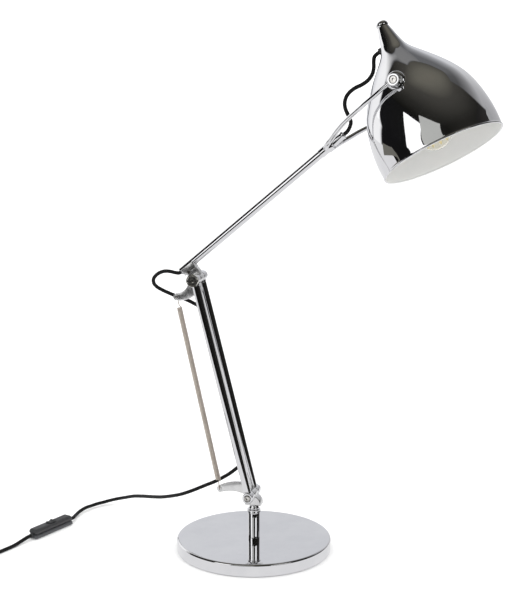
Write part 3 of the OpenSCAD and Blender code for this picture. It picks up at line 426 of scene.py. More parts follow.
def weld(piece, *tools, operation="UNION"):
    for tool in tools:
        only(piece)
        bpy.ops.object.modifier_add(type="BOOLEAN")
        join = piece.modifiers[-1]
        join.operation, join.solver, join.object = operation, "EXACT", tool
        bpy.ops.object.modifier_apply(modifier=join.name)
        bpy.data.objects.remove(tool)
    return piece


def bore(piece, *tools):
    return weld(piece, *tools, operation="DIFFERENCE")


# %% Carry a part to its place
def settle():
    bpy.ops.object.transform_apply(location=True, rotation=True, scale=True)


def put(piece, place, body, material, slot, *replaced, angle=35):
    only(piece)
    bpy.ops.object.shade_smooth_by_angle(angle=math.radians(angle))
    piece.matrix_world = place
    settle()
    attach(piece, body)
    wear(piece, material, replaced)
    print(f"{piece.name}: {len(piece.data.polygons)} faces")
    return piece


def chromed(piece, place, body, *replaced, angle=35):
    return put(piece, place, body, chrome, "chrome", *replaced, angle=angle)


def copy_smooth(node, name, body, material, slot, angle=35):
    piece = nodes[node].copy()
    piece.data = nodes[node].data.copy()
    piece.parent = None
    piece.name = piece.data.name = name
    for key in list(piece.keys()):
        del piece[key]
    bpy.context.scene.collection.objects.link(piece)
    only(piece)
    bpy.ops.object.mode_set(mode="EDIT")
    merge_doubles(1e-6)
    bpy.ops.object.mode_set(mode="OBJECT")
    return put(piece, Matrix.Identity(4), body, material, slot, node, angle=angle)


def hex_bar(name, across, y0, y1):
    r = across / 2 / math.cos(math.radians(30))
    corners = [math.radians(a) for a in range(0, 360, 60)]
    bar = plate(name, [(r * math.cos(a), r * math.sin(a)) for a in corners], y1 - y0)
    bar.data.transform(shift(0, (y0 + y1) / 2, 0))
    return bar


# %% [markdown]
# ## Base and post
# The base is a spun steel cover over an iron weight. Its top edge is a small round, which shows in the
# photograph as a thin dark line, so the section has a true arc there. The post is turned from bar, with a
# slim collar where the head swivels on it. Both are lathe work.

# %% Turn the base and the post
def arc(cx, cy, r, a0, a1, steps):
    turns = [a0 + (a1 - a0) * i / steps for i in range(steps + 1)]
    return [(cx + r * math.cos(math.radians(a)), cy + r * math.sin(math.radians(a))) for a in turns]


cover = lathe("base_dish", [(5.05, 16.5), (40, 16.5), (80, 16.5), *arc(97.5, 14, 2.5, 90, 0, 10), (100, 8),
                            (100, 1.4), *arc(99.5, 1.3, 0.5, 0, -90, 3), (98.5, 0.8), (98.5, 13.6),
                            (97.1, 15), (5.05, 15)], steps=192)
chromed(cover, on_table, "base", "base_cover")
POST_TOP = 54.5
post = lathe("post_bar", [(0, 2.1), (5, 2.1), (5, 16.55), *arc(7.35, 16.95, 0.4, -90, 0, 3), (7.75, 30),
                          (7.75, POST_TOP - 4.4), *arc(8.35, POST_TOP - 3.5, 0.5, -90, 0, 4),
                          (8.85, POST_TOP - 1), *arc(8.05, POST_TOP - 0.8, 0.8, 0, 90, 5), (4.55, POST_TOP),
                          (4.55, POST_TOP - 22.3), (0, POST_TOP - 22.3)], steps=96)
chromed(post, on_table, "base", "post")

# %% Turn the swivel stem
neck = [(0, -22), (4.5, -22), (4.5, -12.7), (4.1, -12.7), (4.1, -9.3), (4.5, -9.3), (4.5, 0.05), (6.7, 0.05),
        *arc(6.5, 0.5, 0.45, -60, 0, 2), (6.95, 1.6), (6.6, 2.4), (6, 3.4), (5.5, 4.4), (5.2, 5.3),
        (5.2, 6.45), (4.2, 6.45), (4.2, 11.45), (0, 11.45)]
stem = lathe("swivel_neck", [(r, POST_TOP + h) for r, h in neck], steps=96)
chromed(stem, on_table, "head", "swivel_stem")

# %% [markdown]
# ## Castings at the foot and the elbow
# Each pivot has a die-cast block with a flat horn, and the balance spring hooks into the horns. A horn is a
# tapered, curved plate, so its outline follows a bent middle line with a width on each side. The boss, the
# web and the horn are welded with booleans, and bored for the bolt, the tube and the spring hook.

# %% Draw a horn
def horn(name, middle, widths, thick, steps=14):
    (ax, az), (bx, bz), (cx, cz) = middle
    left, right = [], []
    for i in range(steps + 1):
        t = i / steps
        x = (1 - t)**2 * ax + 2 * t * (1 - t) * bx + t * t * cx
        z = (1 - t)**2 * az + 2 * t * (1 - t) * bz + t * t * cz
        dx = (1 - t) * (bx - ax) + t * (cx - bx)
        dz = (1 - t) * (bz - az) + t * (cz - bz)
        size = math.hypot(dx, dz)
        w = widths[0] + t * (widths[1] - widths[0])
        left.append((x - dz / size * w, z + dx / size * w))
        right.append((x + dz / size * w, z - dx / size * w))
    heading = math.degrees(math.atan2(left[-1][1] - cz, left[-1][0] - cx))
    tip = arc(cx, cz, widths[1], heading, heading - 180, 12)[1:-1]
    return bevel(plate(name, left + tip + right[::-1], thick), 0.5, 3)


# %% Turn the boss and the eye that both castings have
BOLT_HOLE_R = 3.05


def boss(name):
    return bevel(dowel(name, 7, -BOSS_HALF, BOSS_HALF, steps=64), 0.5)


def horn_eye(name, hook):
    return bevel(dowel(name, 3, -2.6, 2.6, steps=32, at=(hook[0], 0, hook[1])), 0.4)


def pivot_holes(name, hook):
    return (dowel(name + "_bolt_hole", BOLT_HOLE_R, -9, 9),
            dowel(name + "_hook_hole", 1.2, -4, 4, steps=24, at=(hook[0], 0, hook[1])))


# %% Cast the head
HEAD_HOOK, FIN_R = (-42.5, 3.6), 14
fin = [(-7, -13), *arc(0, -13, FIN_R, 0, 90, 16), (-7, -13 + 12.1)]
head = bevel(plate("head_fin", fin, 2 * BOSS_HALF), 0.7, 3)
head = weld(head, boss("head_boss"))
head = weld(head, horn("head_horn", [(-5, 6), (-23, 12), HEAD_HOOK], (8, 4.4), 4))
head = weld(head, horn_eye("head_horn_eye", HEAD_HOOK))
head = bore(head, *pivot_holes("head", HEAD_HOOK), dowel("head_stem_hole", 4.25, -14, -8, "Z", at=(3, 0, 0)))
head.name = head.data.name = "head_block"
put(head, at_foot, "head", cast_chrome, "chrome", "head_casting")

# %% Cast the elbow
SADDLE_TOP, SADDLE_LOW, SADDLE_HALF, ELBOW_HOOK = 20.8, 11.3, 9.4, (-28, -26)
web = [(-7, 0), (7, 0), (9.2, 5), (9.6, 9), (8.6, 13), (-8.2, 13), (-6.6, 9), (-6.2, 5)]
web = bevel(plate("elbow_web", web, 10), 0.8)
block = bevel(plate("elbow_cradle", [(-SADDLE_HALF, SADDLE_LOW), (SADDLE_HALF, SADDLE_LOW),
                                     (SADDLE_HALF, SADDLE_TOP), (-SADDLE_HALF, SADDLE_TOP)], 12), 0.8)
elbow = weld(block, web, boss("elbow_boss"))
elbow = bore(elbow, dowel("elbow_tube_hole", TUBE_R + 0.05, -30, 30, "X", 64, (0, 0, SADDLE_RISE)),
             dowel("elbow_screw_hole", 1.55, -16, 0, "Y", 32, (-2, 0, SADDLE_LOW + 1)))
elbow.data.transform(turn("Y", -UPPER_RISE))
elbow = weld(elbow, horn("elbow_horn", [(-3, -8), (-11, -25.5), ELBOW_HOOK], (8.4, 4.5), 4))
elbow = weld(elbow, horn_eye("elbow_horn_eye", ELBOW_HOOK))
elbow = bore(elbow, *pivot_holes("elbow", ELBOW_HOOK))
elbow.name = elbow.data.name = "elbow_block"
put(elbow, at_elbow, "upper_arm", cast_chrome, "chrome", "elbow_casting")

# %% [markdown]
# ## The lower arm
# Two chromed tubes run side by side, each with a turned eye at both ends that swings on the pivot bolt. The
# near foot bolt is a sunk socket screw, the elbow has a large flat head with a dished face, and domed nuts
# close the far side. The far tube has two side holes for the flex, each with a rubber grommet.

# %% Turn the eyes
def eye(name, side, y1, sink, up):
    flat = [(BOLT_HOLE_R, 8.1), (6.5, 8.1), (7, 8.6), (7, y1 - 0.5), (6.5, y1)]
    sunk = [(4.6, y1), (4.6, y1 - sink), (BOLT_HOLE_R, y1 - sink)]
    mouth = sunk if sink else [(BOLT_HOLE_R, y1)]
    piece = bevel(lathe(name, mirrored(flat + mouth, side), "Y", 64), 0.25, 2)
    stub = [(0, 4), (TUBE_R, 4), (TUBE_R, 7.6), (TUBE_R - 0.3, 7.95), (3.95, 7.95), (3.95, 18), (0, 18)]
    return weld(piece, lathe(name + "_stub", mirrored(stub, up), "Z", 48, (0, side * TUBE_Y, 0)))


chromed(eye("foot_eye_near", -1, 20.5, 2.9, 1), along_lower, "lower_arm", "foot_eyes")
chromed(eye("foot_eye_far", 1, 19.5, 0, 1), along_lower, "lower_arm")
top_place = along_lower @ shift(0, 0, LOWER_LEN)
chromed(eye("elbow_eye_near", -1, 19, 0, -1), top_place, "lower_arm", "top_eyes")
chromed(eye("elbow_eye_far", 1, 19.5, 0, -1), top_place, "lower_arm")

# %% Draw the tubes
def tube(name, z0, z1, axis, at):
    soft = TUBE_R - 0.25
    return lathe(name, [(TUBE_IN, z0), (soft, z0), (TUBE_R, z0 + 0.25), (TUBE_R, (z0 + z1) / 2),
                        (TUBE_R, z1 - 0.25), (soft, z1), (TUBE_IN, z1)], axis, 72, at)


TUBE_FROM, TUBE_TO, CABLE_HOLE_R = 8, 282, 2.75
near_tube = tube("lower_tube_a", TUBE_FROM, TUBE_TO, "Z", (0, -TUBE_Y, 0))
chromed(near_tube, along_lower, "lower_arm", "lower_tube_near")
far_tube = bore(tube("lower_tube_b", TUBE_FROM, TUBE_TO, "Z", (0, TUBE_Y, 0)),
                dowel("cable_hole_low", CABLE_HOLE_R, -11, 0, "X", 40, (0, TUBE_Y, 36)),
                dowel("cable_hole_high", CABLE_HOLE_R, -11, 0, "X", 40, (0, TUBE_Y, 252.5)))
chromed(far_tube, along_lower, "lower_arm", "lower_tube_far")

# %% Turn the pivot bolts and nuts
def bolt(name, head_r, seat, head_t, dish, key):
    face = -seat - head_t
    rim = head_r - (1.2 if head_r < 6 else 1.7)
    section = [(0, face + dish), (rim - 0.3, face + dish), (rim, face + dish - 0.3), (rim, face + 0.35),
               (rim + 0.35, face), (head_r - 0.6, face), (head_r, face + 0.6), (head_r, -seat), (3, -seat),
               (3, 24.5), (0, 24.5)]
    return bore(lathe(name, section, "Y", 64), hex_bar(name + "_key", key, face - 1, face + dish + 2))


put(bolt("foot_socket_bolt", 4.3, 17.65, 4.1, 0.6, 4), at_foot, "lower_arm", screw_steel, "bright_steel",
    "foot_bolt")
put(bolt("elbow_socket_bolt", 8, 19.05, 4, 0.9, 5), at_elbow, "lower_arm", satin_steel, "dark_steel",
    "elbow_bolt")


def domed_nut(name):
    y0, r, rise = 19.55, 6.3, 3.4
    crown = (r * r + rise * rise) / (2 * rise)
    half = math.degrees(math.asin(r / crown))
    dome = arc(0, y0 + 6.5 - crown, crown, 90 - half, 90, 10)
    return bevel(lathe(name, [(BOLT_HOLE_R, y0), (6.1, y0), (r, y0 + 0.2), *dome, (0, y0 + 5.05),
                              (BOLT_HOLE_R, y0 + 5.05)], "Y", 64), 0.3, 3)


chromed(domed_nut("foot_domed_nut"), at_foot, "lower_arm", "foot_cap_nut")
chromed(domed_nut("elbow_domed_nut"), at_elbow, "lower_arm", "elbow_cap_nut")
for node in ("foot_washers", "elbow_washers"):
    copy_smooth(node, node + "_nylon", "lower_arm", nylon, "washer_plastic")
for node in ("cable_grommet_in", "cable_grommet_out"):
    copy_smooth(node, node + "_ring", "lower_arm", rubber, "grommet_rubber")

# %% [markdown]
# ## The balance spring
# A close-wound spring ties the two horns together and carries the weight of the arm. One ring of wire is
# turned along a screw by the Screw modifier, which keeps every winding alike. It is made in two halves that
# meet in the middle.

# %% Place the spring between its hooks
hook_low = Vector((-45.5, 0, 77.6))
hook_high = Vector((-102.139, 0, 329.139))
SPRING_LEN = (hook_high - hook_low).length
spring_axis = (hook_high - hook_low).normalized()
spring_side = Vector((0, 1, 0)).cross(spring_axis)
on_spring = scale_down @ Matrix(((spring_side.x, 0, spring_axis.x, hook_low.x), (0, 1, 0, 0),
                                 (spring_side.z, 0, spring_axis.z, hook_low.z), (0, 0, 0, 1)))
WIRE_R, COIL_R, PITCH, TURNS = 0.6, 2.9, 1.2206, 95
SPRING_FROM = (SPRING_LEN - 2 - 2 * TURNS * PITCH) / 2
MIDDLE = SPRING_FROM + TURNS * PITCH
SPRING_TO = MIDDLE + TURNS * PITCH
print("spring:", round(SPRING_LEN, 1), "mm between its hooks")

# %% Wind half of the spring
def winding(name, start):
    bpy.ops.object.select_all(action="DESELECT")
    bpy.ops.mesh.primitive_circle_add(vertices=8, radius=WIRE_R, location=(COIL_R, 0, start),
                                      rotation=(math.pi / 2, 0, 0))
    piece = named(name)
    settle()
    bpy.ops.object.modifier_add(type="SCREW")
    screw = piece.modifiers[-1]
    screw.axis, screw.angle, screw.screw_offset, screw.iterations = "Z", math.tau, PITCH, TURNS
    screw.steps = screw.render_steps = 16
    bpy.ops.object.modifier_apply(modifier=screw.name)
    bpy.ops.object.mode_set(mode="EDIT")
    merge_doubles(1e-4)
    bpy.ops.mesh.select_all(action="DESELECT")
    bpy.ops.mesh.select_non_manifold()
    bpy.ops.mesh.edge_face_add()
    face_outwards()
    return piece


# %% Join the windings and their hooks
HOOK = [(0.3, 4), (0.3, 1.5), (0.3, -1.5), (0.6, -3), (2, -3.9), (4, -3.4), (6.5, -1.6), (9, -0.4)]


def half_spring(name, start, hook):
    coil = winding(name, start)
    line = smooth_line(hook, 4)
    wire = round_bar(name + "_hook", line, [WIRE_R] * len(line), 10)
    only(coil)
    wire.select_set(True)
    bpy.ops.object.join()
    coil.matrix_world = on_spring
    settle()
    bpy.ops.object.shade_smooth_by_angle(angle=math.radians(60))
    return coil


low_half = half_spring("spring_lower_half", SPRING_FROM, [(0, y, z) for z, y in HOOK]
                       + [(1.6, -0.6, SPRING_FROM - 1), (COIL_R, 0, SPRING_FROM)])
high_half = half_spring("spring_upper_half", MIDDLE, [(0, -y, SPRING_LEN - z) for z, y in HOOK]
                        + [(1.6, 0.6, SPRING_TO + 1), (COIL_R, 0, SPRING_TO)])
wear(low_half, spring_nickel, ["balance_spring"])
wear(high_half, spring_nickel)
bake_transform(low_half)
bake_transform(high_half)
print("spring:", 2 * TURNS, "turns,", len(low_half.data.polygons) + len(high_half.data.polygons), "faces")

# %% [markdown]
# ## The upper arm and the yoke
# One long tube lies in the saddle and carries the flex inside. On its front end a turned sleeve rolls about
# the tube, and two thin rods sweep out of it, narrow as they go, and end in discs beside the shade. The rods
# are bars along a curve, welded to turned discs.

# %% Draw the upper tube and its clamp screw
upper = lathe("upper_tube_long", [(TUBE_IN, -10.4), (TUBE_R - 0.25, -10.4), (TUBE_R, -10.15), (TUBE_R, 110),
                                  (TUBE_R, 231.4), (4.6, 231.5), (4.6, 234.9), (TUBE_R, 235), (TUBE_R, 244.4),
                                  (TUBE_R - 0.2, 244.6), (TUBE_IN, 244.6)], "X", 72)
chromed(upper, along_upper, "upper_arm", "upper_tube")
clamp = lathe("saddle_clamp_screw", [(0, -7.2), (0.8, -7.2), (0.9, -7.55), (1.9, -7.55), (2.4, -7.1),
                                     (2.4, -6.05), (1.5, -6.05), (1.5, -1), (0, -1)], "Y", 40,
              (-2, 0, SADDLE_LOW + 1))
put(clamp, on_saddle, "upper_arm", dark_steel, "dark_steel", "saddle_screw")
copy_smooth("upper_tube_bush", "upper_tube_plug", "upper_arm", rubber, "grommet_rubber")

# %% Turn the sleeve
HUB_FROM = 235.6
collar = [(5.05, -10), (5.4, -10), (5.8, -9.6), (5.8, -0.4), (6, 0.6), (6.7, 2.4), (6.9, 3.4), (6.9, 8.6),
          (6.6, 9.4), (4.9, 10.8), (4.7, 11.4), (4.7, 25.6), (5.1, 25.6), (5.1, 27.5), (4.6, 28), (2.6, 28),
          (2.6, 9.3), (5.05, 9.3)]
sleeve = lathe("yoke_collar", [(r, HUB_FROM + x) for r, x in collar], "X", 72)
chromed(bevel(sleeve, 0.15, 2), on_yoke, "yoke", "yoke_sleeve")

# %% Work out the bell of the shade
CAP_H, CAP_R, SHADE_LEN, MOUTH_R, SHADE_PIVOT = 8.4, 7.2, 178.8, 76, 89.6
bell_shares = [(0.068, 0.137), (0.133, 0.178), (0.186, 0.229), (0.238, 0.32), (0.303, 0.45), (0.385, 0.605),
               (0.467, 0.741), (0.555, 0.855), (0.655, 0.933), (0.772, 0.9855), (0.889, 1.0085), (1, 1)]
keys = [(CAP_H, CAP_R)] + [(CAP_H + a * (SHADE_LEN - CAP_H), b * MOUTH_R) for a, b in bell_shares]


def key_slope(i):
    (t0, r0), (t1, r1) = keys[max(i - 1, 0)], keys[min(i + 1, len(keys) - 1)]
    return (r1 - r0) / (t1 - t0)


def bell_raw(t):
    if t < CAP_H:
        return CAP_R + key_slope(0) * (t - CAP_H)
    if t > SHADE_LEN:
        return MOUTH_R + key_slope(len(keys) - 1) * (t - SHADE_LEN)
    i = max(k for k in range(len(keys) - 1) if t >= keys[k][0])
    (t0, r0), (t1, r1) = keys[i], keys[i + 1]
    h, s = t1 - t0, (t - t0) / (t1 - t0)
    return curve_between(r0, key_slope(i) * h, r1, key_slope(i + 1) * h, s)


EVEN = [(k, math.exp(-k * k / 8)) for k in range(-5, 6)]


def bell(t):
    return sum(w * bell_raw(t + 1.2 * k) for k, w in EVEN) / sum(w for _, w in EVEN)


def bell_line(inset, t0, t1, count):
    line = []
    for i in range(count + 1):
        t = t0 + (t1 - t0) * i / count
        slope = bell(t + 0.5) - bell(t - 0.5)
        line.append((bell(t) - inset * math.sqrt(1 + slope * slope), SHADE_PIVOT - t))
    return line


PIVOT_R, BOSS_H = bell_raw(SHADE_PIVOT), 7.7
DISC_IN = PIVOT_R + BOSS_H + 0.3
DISC_OUT = DISC_IN + 4.6
print("shade radius at the pivot:", round(PIVOT_R, 2), "smoothed", round(bell(SHADE_PIVOT), 2))

# %% Bend the yoke rods
ROD_PATH = [(0, 0.05, 0), (0.066, 0.207, 0), (0.128, 0.278, 0), (0.21, 0.39, 0), (0.284, 0.478, 0),
            (0.44, 0.655, 0.22), (0.534, 0.755, 0.43), (0.652, 0.865, 0.64), (0.769, 0.934, 0.8),
            (0.894, 0.99, 0.92), (0.955, 1, 1)]
ROD_R, ROD_THINS = 3.3, 1.1


def yoke_rod(name, side):
    span, half = YOKE_REACH - HUB_FROM, (DISC_IN + DISC_OUT) / 2
    path = [(HUB_FROM + a * span, side * b * half, -c * YOKE_DROP) for a, b, c in ROD_PATH]
    line = smooth_line(path, 6)
    rod = round_bar(name, line, [ROD_R - ROD_THINS * (p.x - HUB_FROM) / span for p in line], 24)
    rod = bore(rod, dowel(name + "_bore", 6, 225, 264.6, "X", 72))
    disc = [(2.55, DISC_IN), (7.3, DISC_IN), (7.3, DISC_OUT), (4.5, DISC_OUT), (4.5, DISC_OUT - 1.6),
            (2.55, DISC_OUT - 1.6)]
    disc = lathe(name + "_disc", mirrored(disc, side), "Y", 64, (YOKE_REACH, 0, -YOKE_DROP))
    return weld(rod, bevel(disc, 0.5, 3))


chromed(yoke_rod("yoke_rod_a", -1), on_yoke, "yoke", "yoke_rod_near", angle=40)
chromed(yoke_rod("yoke_rod_b", 1), on_yoke, "yoke", "yoke_rod_far", angle=40)

# %% [markdown]
# ## The shade
# The bell was spun over a form, so its skin is one flowing curve from the slim neck to the rolled rim. Any
# kink in the section would show as a broken reflection, so the section is evened out before it is spun, in
# many fine steps. The inside is white enamel, which laps round the inner side of the rim. A small ball on a
# lip closes the neck, and two domed bosses carry the pivots.

# %% Spin the shade, its lining and its cap
rim_c = (MOUTH_R - 0.5, SHADE_PIVOT - (SHADE_LEN - 0.4))
neck_t, roll_t = CAP_H + 0.05, SHADE_LEN - 1.65
shell = lathe("shade_bell", bell_line(0, neck_t, roll_t, 110) + arc(*rim_c, 1.1, 55, -235, 16)
              + bell_line(1, neck_t, roll_t, 70)[::-1], "Z", 192)
chromed(shell, in_shade, "shade", "shade_shell", angle=50)
lining = lathe("shade_enamel", bell_line(1.05, 48, SHADE_LEN - 2, 60) + arc(*rim_c, 1.13, -235, -128, 16)
               + arc(*rim_c, 1.4, -128, -235, 16) + bell_line(1.55, 48, SHADE_LEN - 2, 60)[::-1], "Z", 128)
put(lining, in_shade, "shade", enamel, "white_lining", "shade_lining", angle=50)
dome_z = SHADE_PIVOT - CAP_H
down = [math.radians(90 - 7 * i) for i in range(18)]
ball = [(7.6 * math.cos(a), dome_z + 3.1 + 5.3 * math.sin(a)) for a in down]
lip = [(6.5, 0.25), (6.15, 0), (6.15, -5), (4.05, -5), (4.05, 3), (0, 3)]
cap = lathe("shade_tip", ball + [(r, dome_z + h) for r, h in lip], "Z", 96)
chromed(cap, in_shade, "shade", "tip_cap")

# %% Turn the pivot bosses and their screws
PIVOT_IN = bell_raw(SHADE_PIVOT + 2.5) + 0.7


def pivot_boss(name, side):
    p = PIVOT_R
    dome = [(7.8 + 3.7 * math.cos(i / 4), p + 1.2 + 4.5 * math.sin(i / 4)) for i in range(7)]
    section = [(0, p - 9), (11.5, p - 9), *dome, (7.8, p + 7), (7.5, p + 7.5), (7, p + BOSS_H),
               (2.55, p + BOSS_H), (2.55, PIVOT_IN), (0, PIVOT_IN)]
    form = [(0, SHADE_PIVOT - 40)] + bell_line(-0.06, 40, 150, 60) + [(0, SHADE_PIVOT - 150)]
    return bore(lathe(name, mirrored(section, side), "Y", 64), lathe(name + "_form", form, "Z", 192))


def pivot_screw(name, side):
    under = DISC_OUT - 1.55
    section = [(0, PIVOT_IN + 0.05), (2.5, PIVOT_IN + 0.05), (2.5, under), (4.2, under),
               (4.2, DISC_OUT - 0.1), (3.7, DISC_OUT + 0.4), (0, DISC_OUT + 0.4)]
    piece = lathe(name, mirrored(section, side), "Y", 48)
    y0, y1 = sorted((side * (DISC_OUT - 1.4), side * (DISC_OUT + 2)))
    return bore(piece, hex_bar(name + "_key", 3, y0, y1))


chromed(pivot_boss("pivot_boss_a", -1), in_shade, "shade", "pivot_bosses")
chromed(pivot_boss("pivot_boss_b", 1), in_shade, "shade")
put(pivot_screw("pivot_screw_a", -1), in_shade, "shade", screw_steel, "bright_steel", "pivot_screws")
put(pivot_screw("pivot_screw_b", 1), in_shade, "shade", screw_steel, "bright_steel")

# %% [markdown]
# ## Inside the shade
# A lampholder hangs on a brass nipple, with a notched ring, and a clear globe bulb stands in it. The thin
# yellow sticks in the globe are its filaments. The glass is a thin shell, with an inner face, so that light
# passes it as it passes a real bulb.

# %% Hang the lampholder and blow the bulb
copy_smooth("lampholder", "lampholder_body", "shade", holder_plastic, "holder_plastic")
copy_smooth("holder_ring", "lampholder_ring", "shade", holder_plastic, "holder_plastic")
copy_smooth("shade_grommet", "shade_grommet_ring", "shade", rubber, "grommet_rubber")
copy_smooth("bulb_cap", "bulb_screw_cap", "shade", screw_steel, "bright_steel")


def globe(inset):
    top, centre, neck, r = 106, 149.5, 8.5, 22.5
    a0 = math.radians(128)
    start = (r * math.sin(a0), centre + r * math.cos(a0))
    line = []
    for i in range(10):
        s = i / 10
        x = (1 - s)**2 * neck + 2 * s * (1 - s) * neck + s * s * start[0]
        t = (1 - s)**2 * top + 2 * s * (1 - s) * (top + 12) + s * s * start[1]
        line.append((x - inset, SHADE_PIVOT - t))
    for i in range(25):
        a = a0 * (1 - i / 24)
        line.append(((r - inset) * math.sin(a), SHADE_PIVOT - centre - (r - inset) * math.cos(a)))
    return line


bulb = lathe("bulb_globe", globe(0) + globe(0.6)[::-1], "Z", 96)
put(bulb, in_shade, "shade", glass, "bulb_glass", "bulb_glass", angle=60)

# %% Fit the filaments
STICK_R = 1.9


def filament(name, angle):
    c, s = math.cos(math.radians(angle)), math.sin(math.radians(angle))
    line = smooth_line([(4 * c, 4 * s, SHADE_PIVOT - 128), (9 * c - 3 * s, 9 * s + 3 * c, SHADE_PIVOT - 147),
                        (12 * c - 6 * s, 12 * s + 6 * c, SHADE_PIVOT - 165)], 5)
    return round_bar(name, line, [0.5] + [STICK_R] * (len(line) - 2) + [0.9], 10)


sticks = [filament(f"filament_{i}", 45 * i + 20) for i in range(8)]
stem_glass = [(0, 106.6), (4.5, 106.6), (3, 114), (1.6, 122), (1.2, 138), (0, 138.6)]
stalk = lathe("bulb_stalk", [(r, SHADE_PIVOT - t) for r, t in stem_glass], "Z", 24)
only(sticks[0])
for stick in sticks[1:]:
    stick.select_set(True)
bpy.ops.object.join()
put(sticks[0], in_shade, "shade", phosphor, "bulb_glass")
put(stalk, in_shade, "shade", glass, "bulb_glass")

# %% [markdown]
# ## The inline switch and the plug
# The switch is two moulded half shells with soft corners, a shallow scoop along the top and a rocker in a
# well. A cube is scaled to size, its upright edges are bevelled wide and its top edges less, and the scoop
# and the well are cut with booleans. The plug beside the coil is a flat outline, extruded to its thickness
# and then bevelled twice, wide along its edges and finely where the first bevel ends.

# %% Mould the shells of the switch
def moulded_box(name, size, z0, corner, edge, up):
    middle = z0 + size[2] / 2
    bpy.ops.object.select_all(action="DESELECT")
    bpy.ops.mesh.primitive_cube_add(size=1, location=(0, 0, middle), scale=size)
    piece = named(name)
    settle()
    for pick, width, parts in ((lambda a, b: abs(a.z - b.z) > 0.1, corner, 8),
                               (lambda a, b: abs(a.z - b.z) < 0.01 and (a.z - middle) * up > 0, edge, 6)):
        for e in piece.data.edges:
            a, b = (piece.data.vertices[v].co for v in e.vertices)
            e.select = bool(pick(a, b))
        for v in piece.data.vertices:
            v.select = False
        for f in piece.data.polygons:
            f.select = False
        only(piece)
        bpy.ops.object.mode_set(mode="EDIT")
        bpy.ops.mesh.select_mode(type="EDGE")
        bpy.ops.mesh.bevel(offset=width, segments=parts, profile=0.5, affect="EDGES", clamp_overlap=True)
        bpy.ops.mesh.select_mode(type="VERT")
        bpy.ops.object.mode_set(mode="OBJECT")
    return piece


low_shell = moulded_box("switch_shell_low", (73, 16, 5.1), 0.1, 5.9, 2.2, -1)
low_shell = bore(low_shell, moulded_box("switch_hollow", (60, 9, 4.4), 3, 1, 0.4, 1))
put(low_shell, at_switch, "base", switch_base, "switch_plastic", "switch_lower")
top_shell = moulded_box("switch_shell_top", (72, 15, 7.75), 5.25, 5.4, 3.2, 1)
top_shell = bore(top_shell, dowel("switch_scoop", 30, -9, 9, "Y", 128, (0, 0, 41.8)),
                 moulded_box("switch_well", (15, 7.8, 8), 6.4, 1.2, 0.3, 1))
put(top_shell, at_switch, "base", switch_shell, "switch_plastic", "switch_upper")

# %% Fit the rocker and the reliefs
key = [(-6.6, -2.4), (6.6, -2.4), (6, 1.4), (5.2, 4.2), (4.2, 4.75), (2.4, 3.9), (0, 3.35), (-2.4, 3.9),
       (-4.2, 4.75), (-5.2, 4.2), (-6, 1.4)]
rocker = bevel(plate("switch_rocker_key", key, 7), 0.4, 3, 25)
rocker = weld(rocker, dowel("rocker_pin", 1.2, -5.6, 5.6, "Y", 32))
put(rocker, at_switch @ shift(0, 0, 10.4) @ turn("Y", 6), "rocker", switch_shell, "switch_plastic",
    "switch_rocker")


def relief(name, side):
    section = [(0, 36.55), (3.2, 36.55), (3.2, 37.5), (2.9, 37.7), (2.9, 38), (3.1, 38.2), (2.95, 38.9),
               (2.7, 39.2), (2.8, 39.55), (0, 39.55)]
    return lathe(name, mirrored(section, side), "X", 40, (0, 0, 5.2))


put(relief("switch_relief_a", 1), at_switch, "base", switch_shell, "switch_plastic", "switch_reliefs")
put(relief("switch_relief_b", -1), at_switch, "base", switch_shell, "switch_plastic")

# %% Mould the plug
flank = [(6.5, 0), (10.4, 9), (16.2, 20), (17.3, 26), (17.4, 36)]
plug = plate("plug_moulding", [(-6.5, 0)] + flank + [(-x, z) for x, z in flank[:0:-1]], 14.6)
plug.data.transform(turn("X", -90))
plug = bevel(bevel(plug, 3.2, 5, 60), 0.3, 2, 30)
put(plug, at_plug @ shift(0, 22, 0), "base", switch_shell, "switch_plastic", "plug_body")
ribs = [(2.9 + 0.32 * i + extra, 2 + 4 * i + 2.4 * k) for i in range(5) for k, extra in ((0, 0.5), (1, 0))]
cuff = lathe("plug_cuff", [(0, 0), (2.7, 0)] + ribs + [(4.7, 21.95), (0, 21.95)], "Y", 40)
put(bevel(cuff, 0.2, 2), at_plug, "base", switch_shell, "switch_plastic", "plug_relief")


def pin(name, x):
    shank = [(0, 58.05), (1.95, 58.05), (1.95, 68), (2, 68.1), (2, 75)]
    return lathe(name, shank + arc(0, 75.05, 2, 0, 90, 8)[1:], "Y", 32, (x, 0, 0))


put(pin("plug_pin_a", 9.3), at_plug, "base", screw_steel, "bright_steel", "plug_pins")
put(pin("plug_pin_b", -9.3), at_plug, "base", screw_steel, "bright_steel")
copy_smooth("cord_tie", "coil_band", "base", rubber, "cord_plastic")

print("loops: elbow", round(elbow_len, 3), "m, shade", round(shade_len, 3), "m")

# %% [markdown]
# ## Finishes on the parts that stay
# The iron weight, the pad and the fixings under the base keep their solids, because little of them shows.
# They still get their own finishes.

# %% Dress the remaining nodes
stay = {"base_weight": cast_iron, "base_pad": pad_rubber, "post_washer": screw_steel, "post_nut": screw_steel,
        "swivel_grub": dark_steel, "lower_arm_cable": flex, "upper_arm_cable": flex, "yoke_grub": dark_steel,
        "holder_nipple": brass}
for node, material in stay.items():
    nodes[node].data.materials.clear()
    nodes[node].data.materials.append(material)
print("nodes that stay:", sorted(n for n, o in nodes.items() if not o.hide_render))

# %% [markdown]
# ## The studio
# The photograph was taken on white, with almost no shadow. Chrome has no colour of its own and shows only
# what stands round it. The reflections on the shade tell what that was: a light wall behind on the left, a
# dark room in front and on the right, pale sheets on the table, and cards and windows at the sides. A ring
# of lamps could stand for it, but a mirror would show the lamps. So glowing planes and a painted sky are
# used, and the eye still sees white paper everywhere, because only mirror rays are given that room.

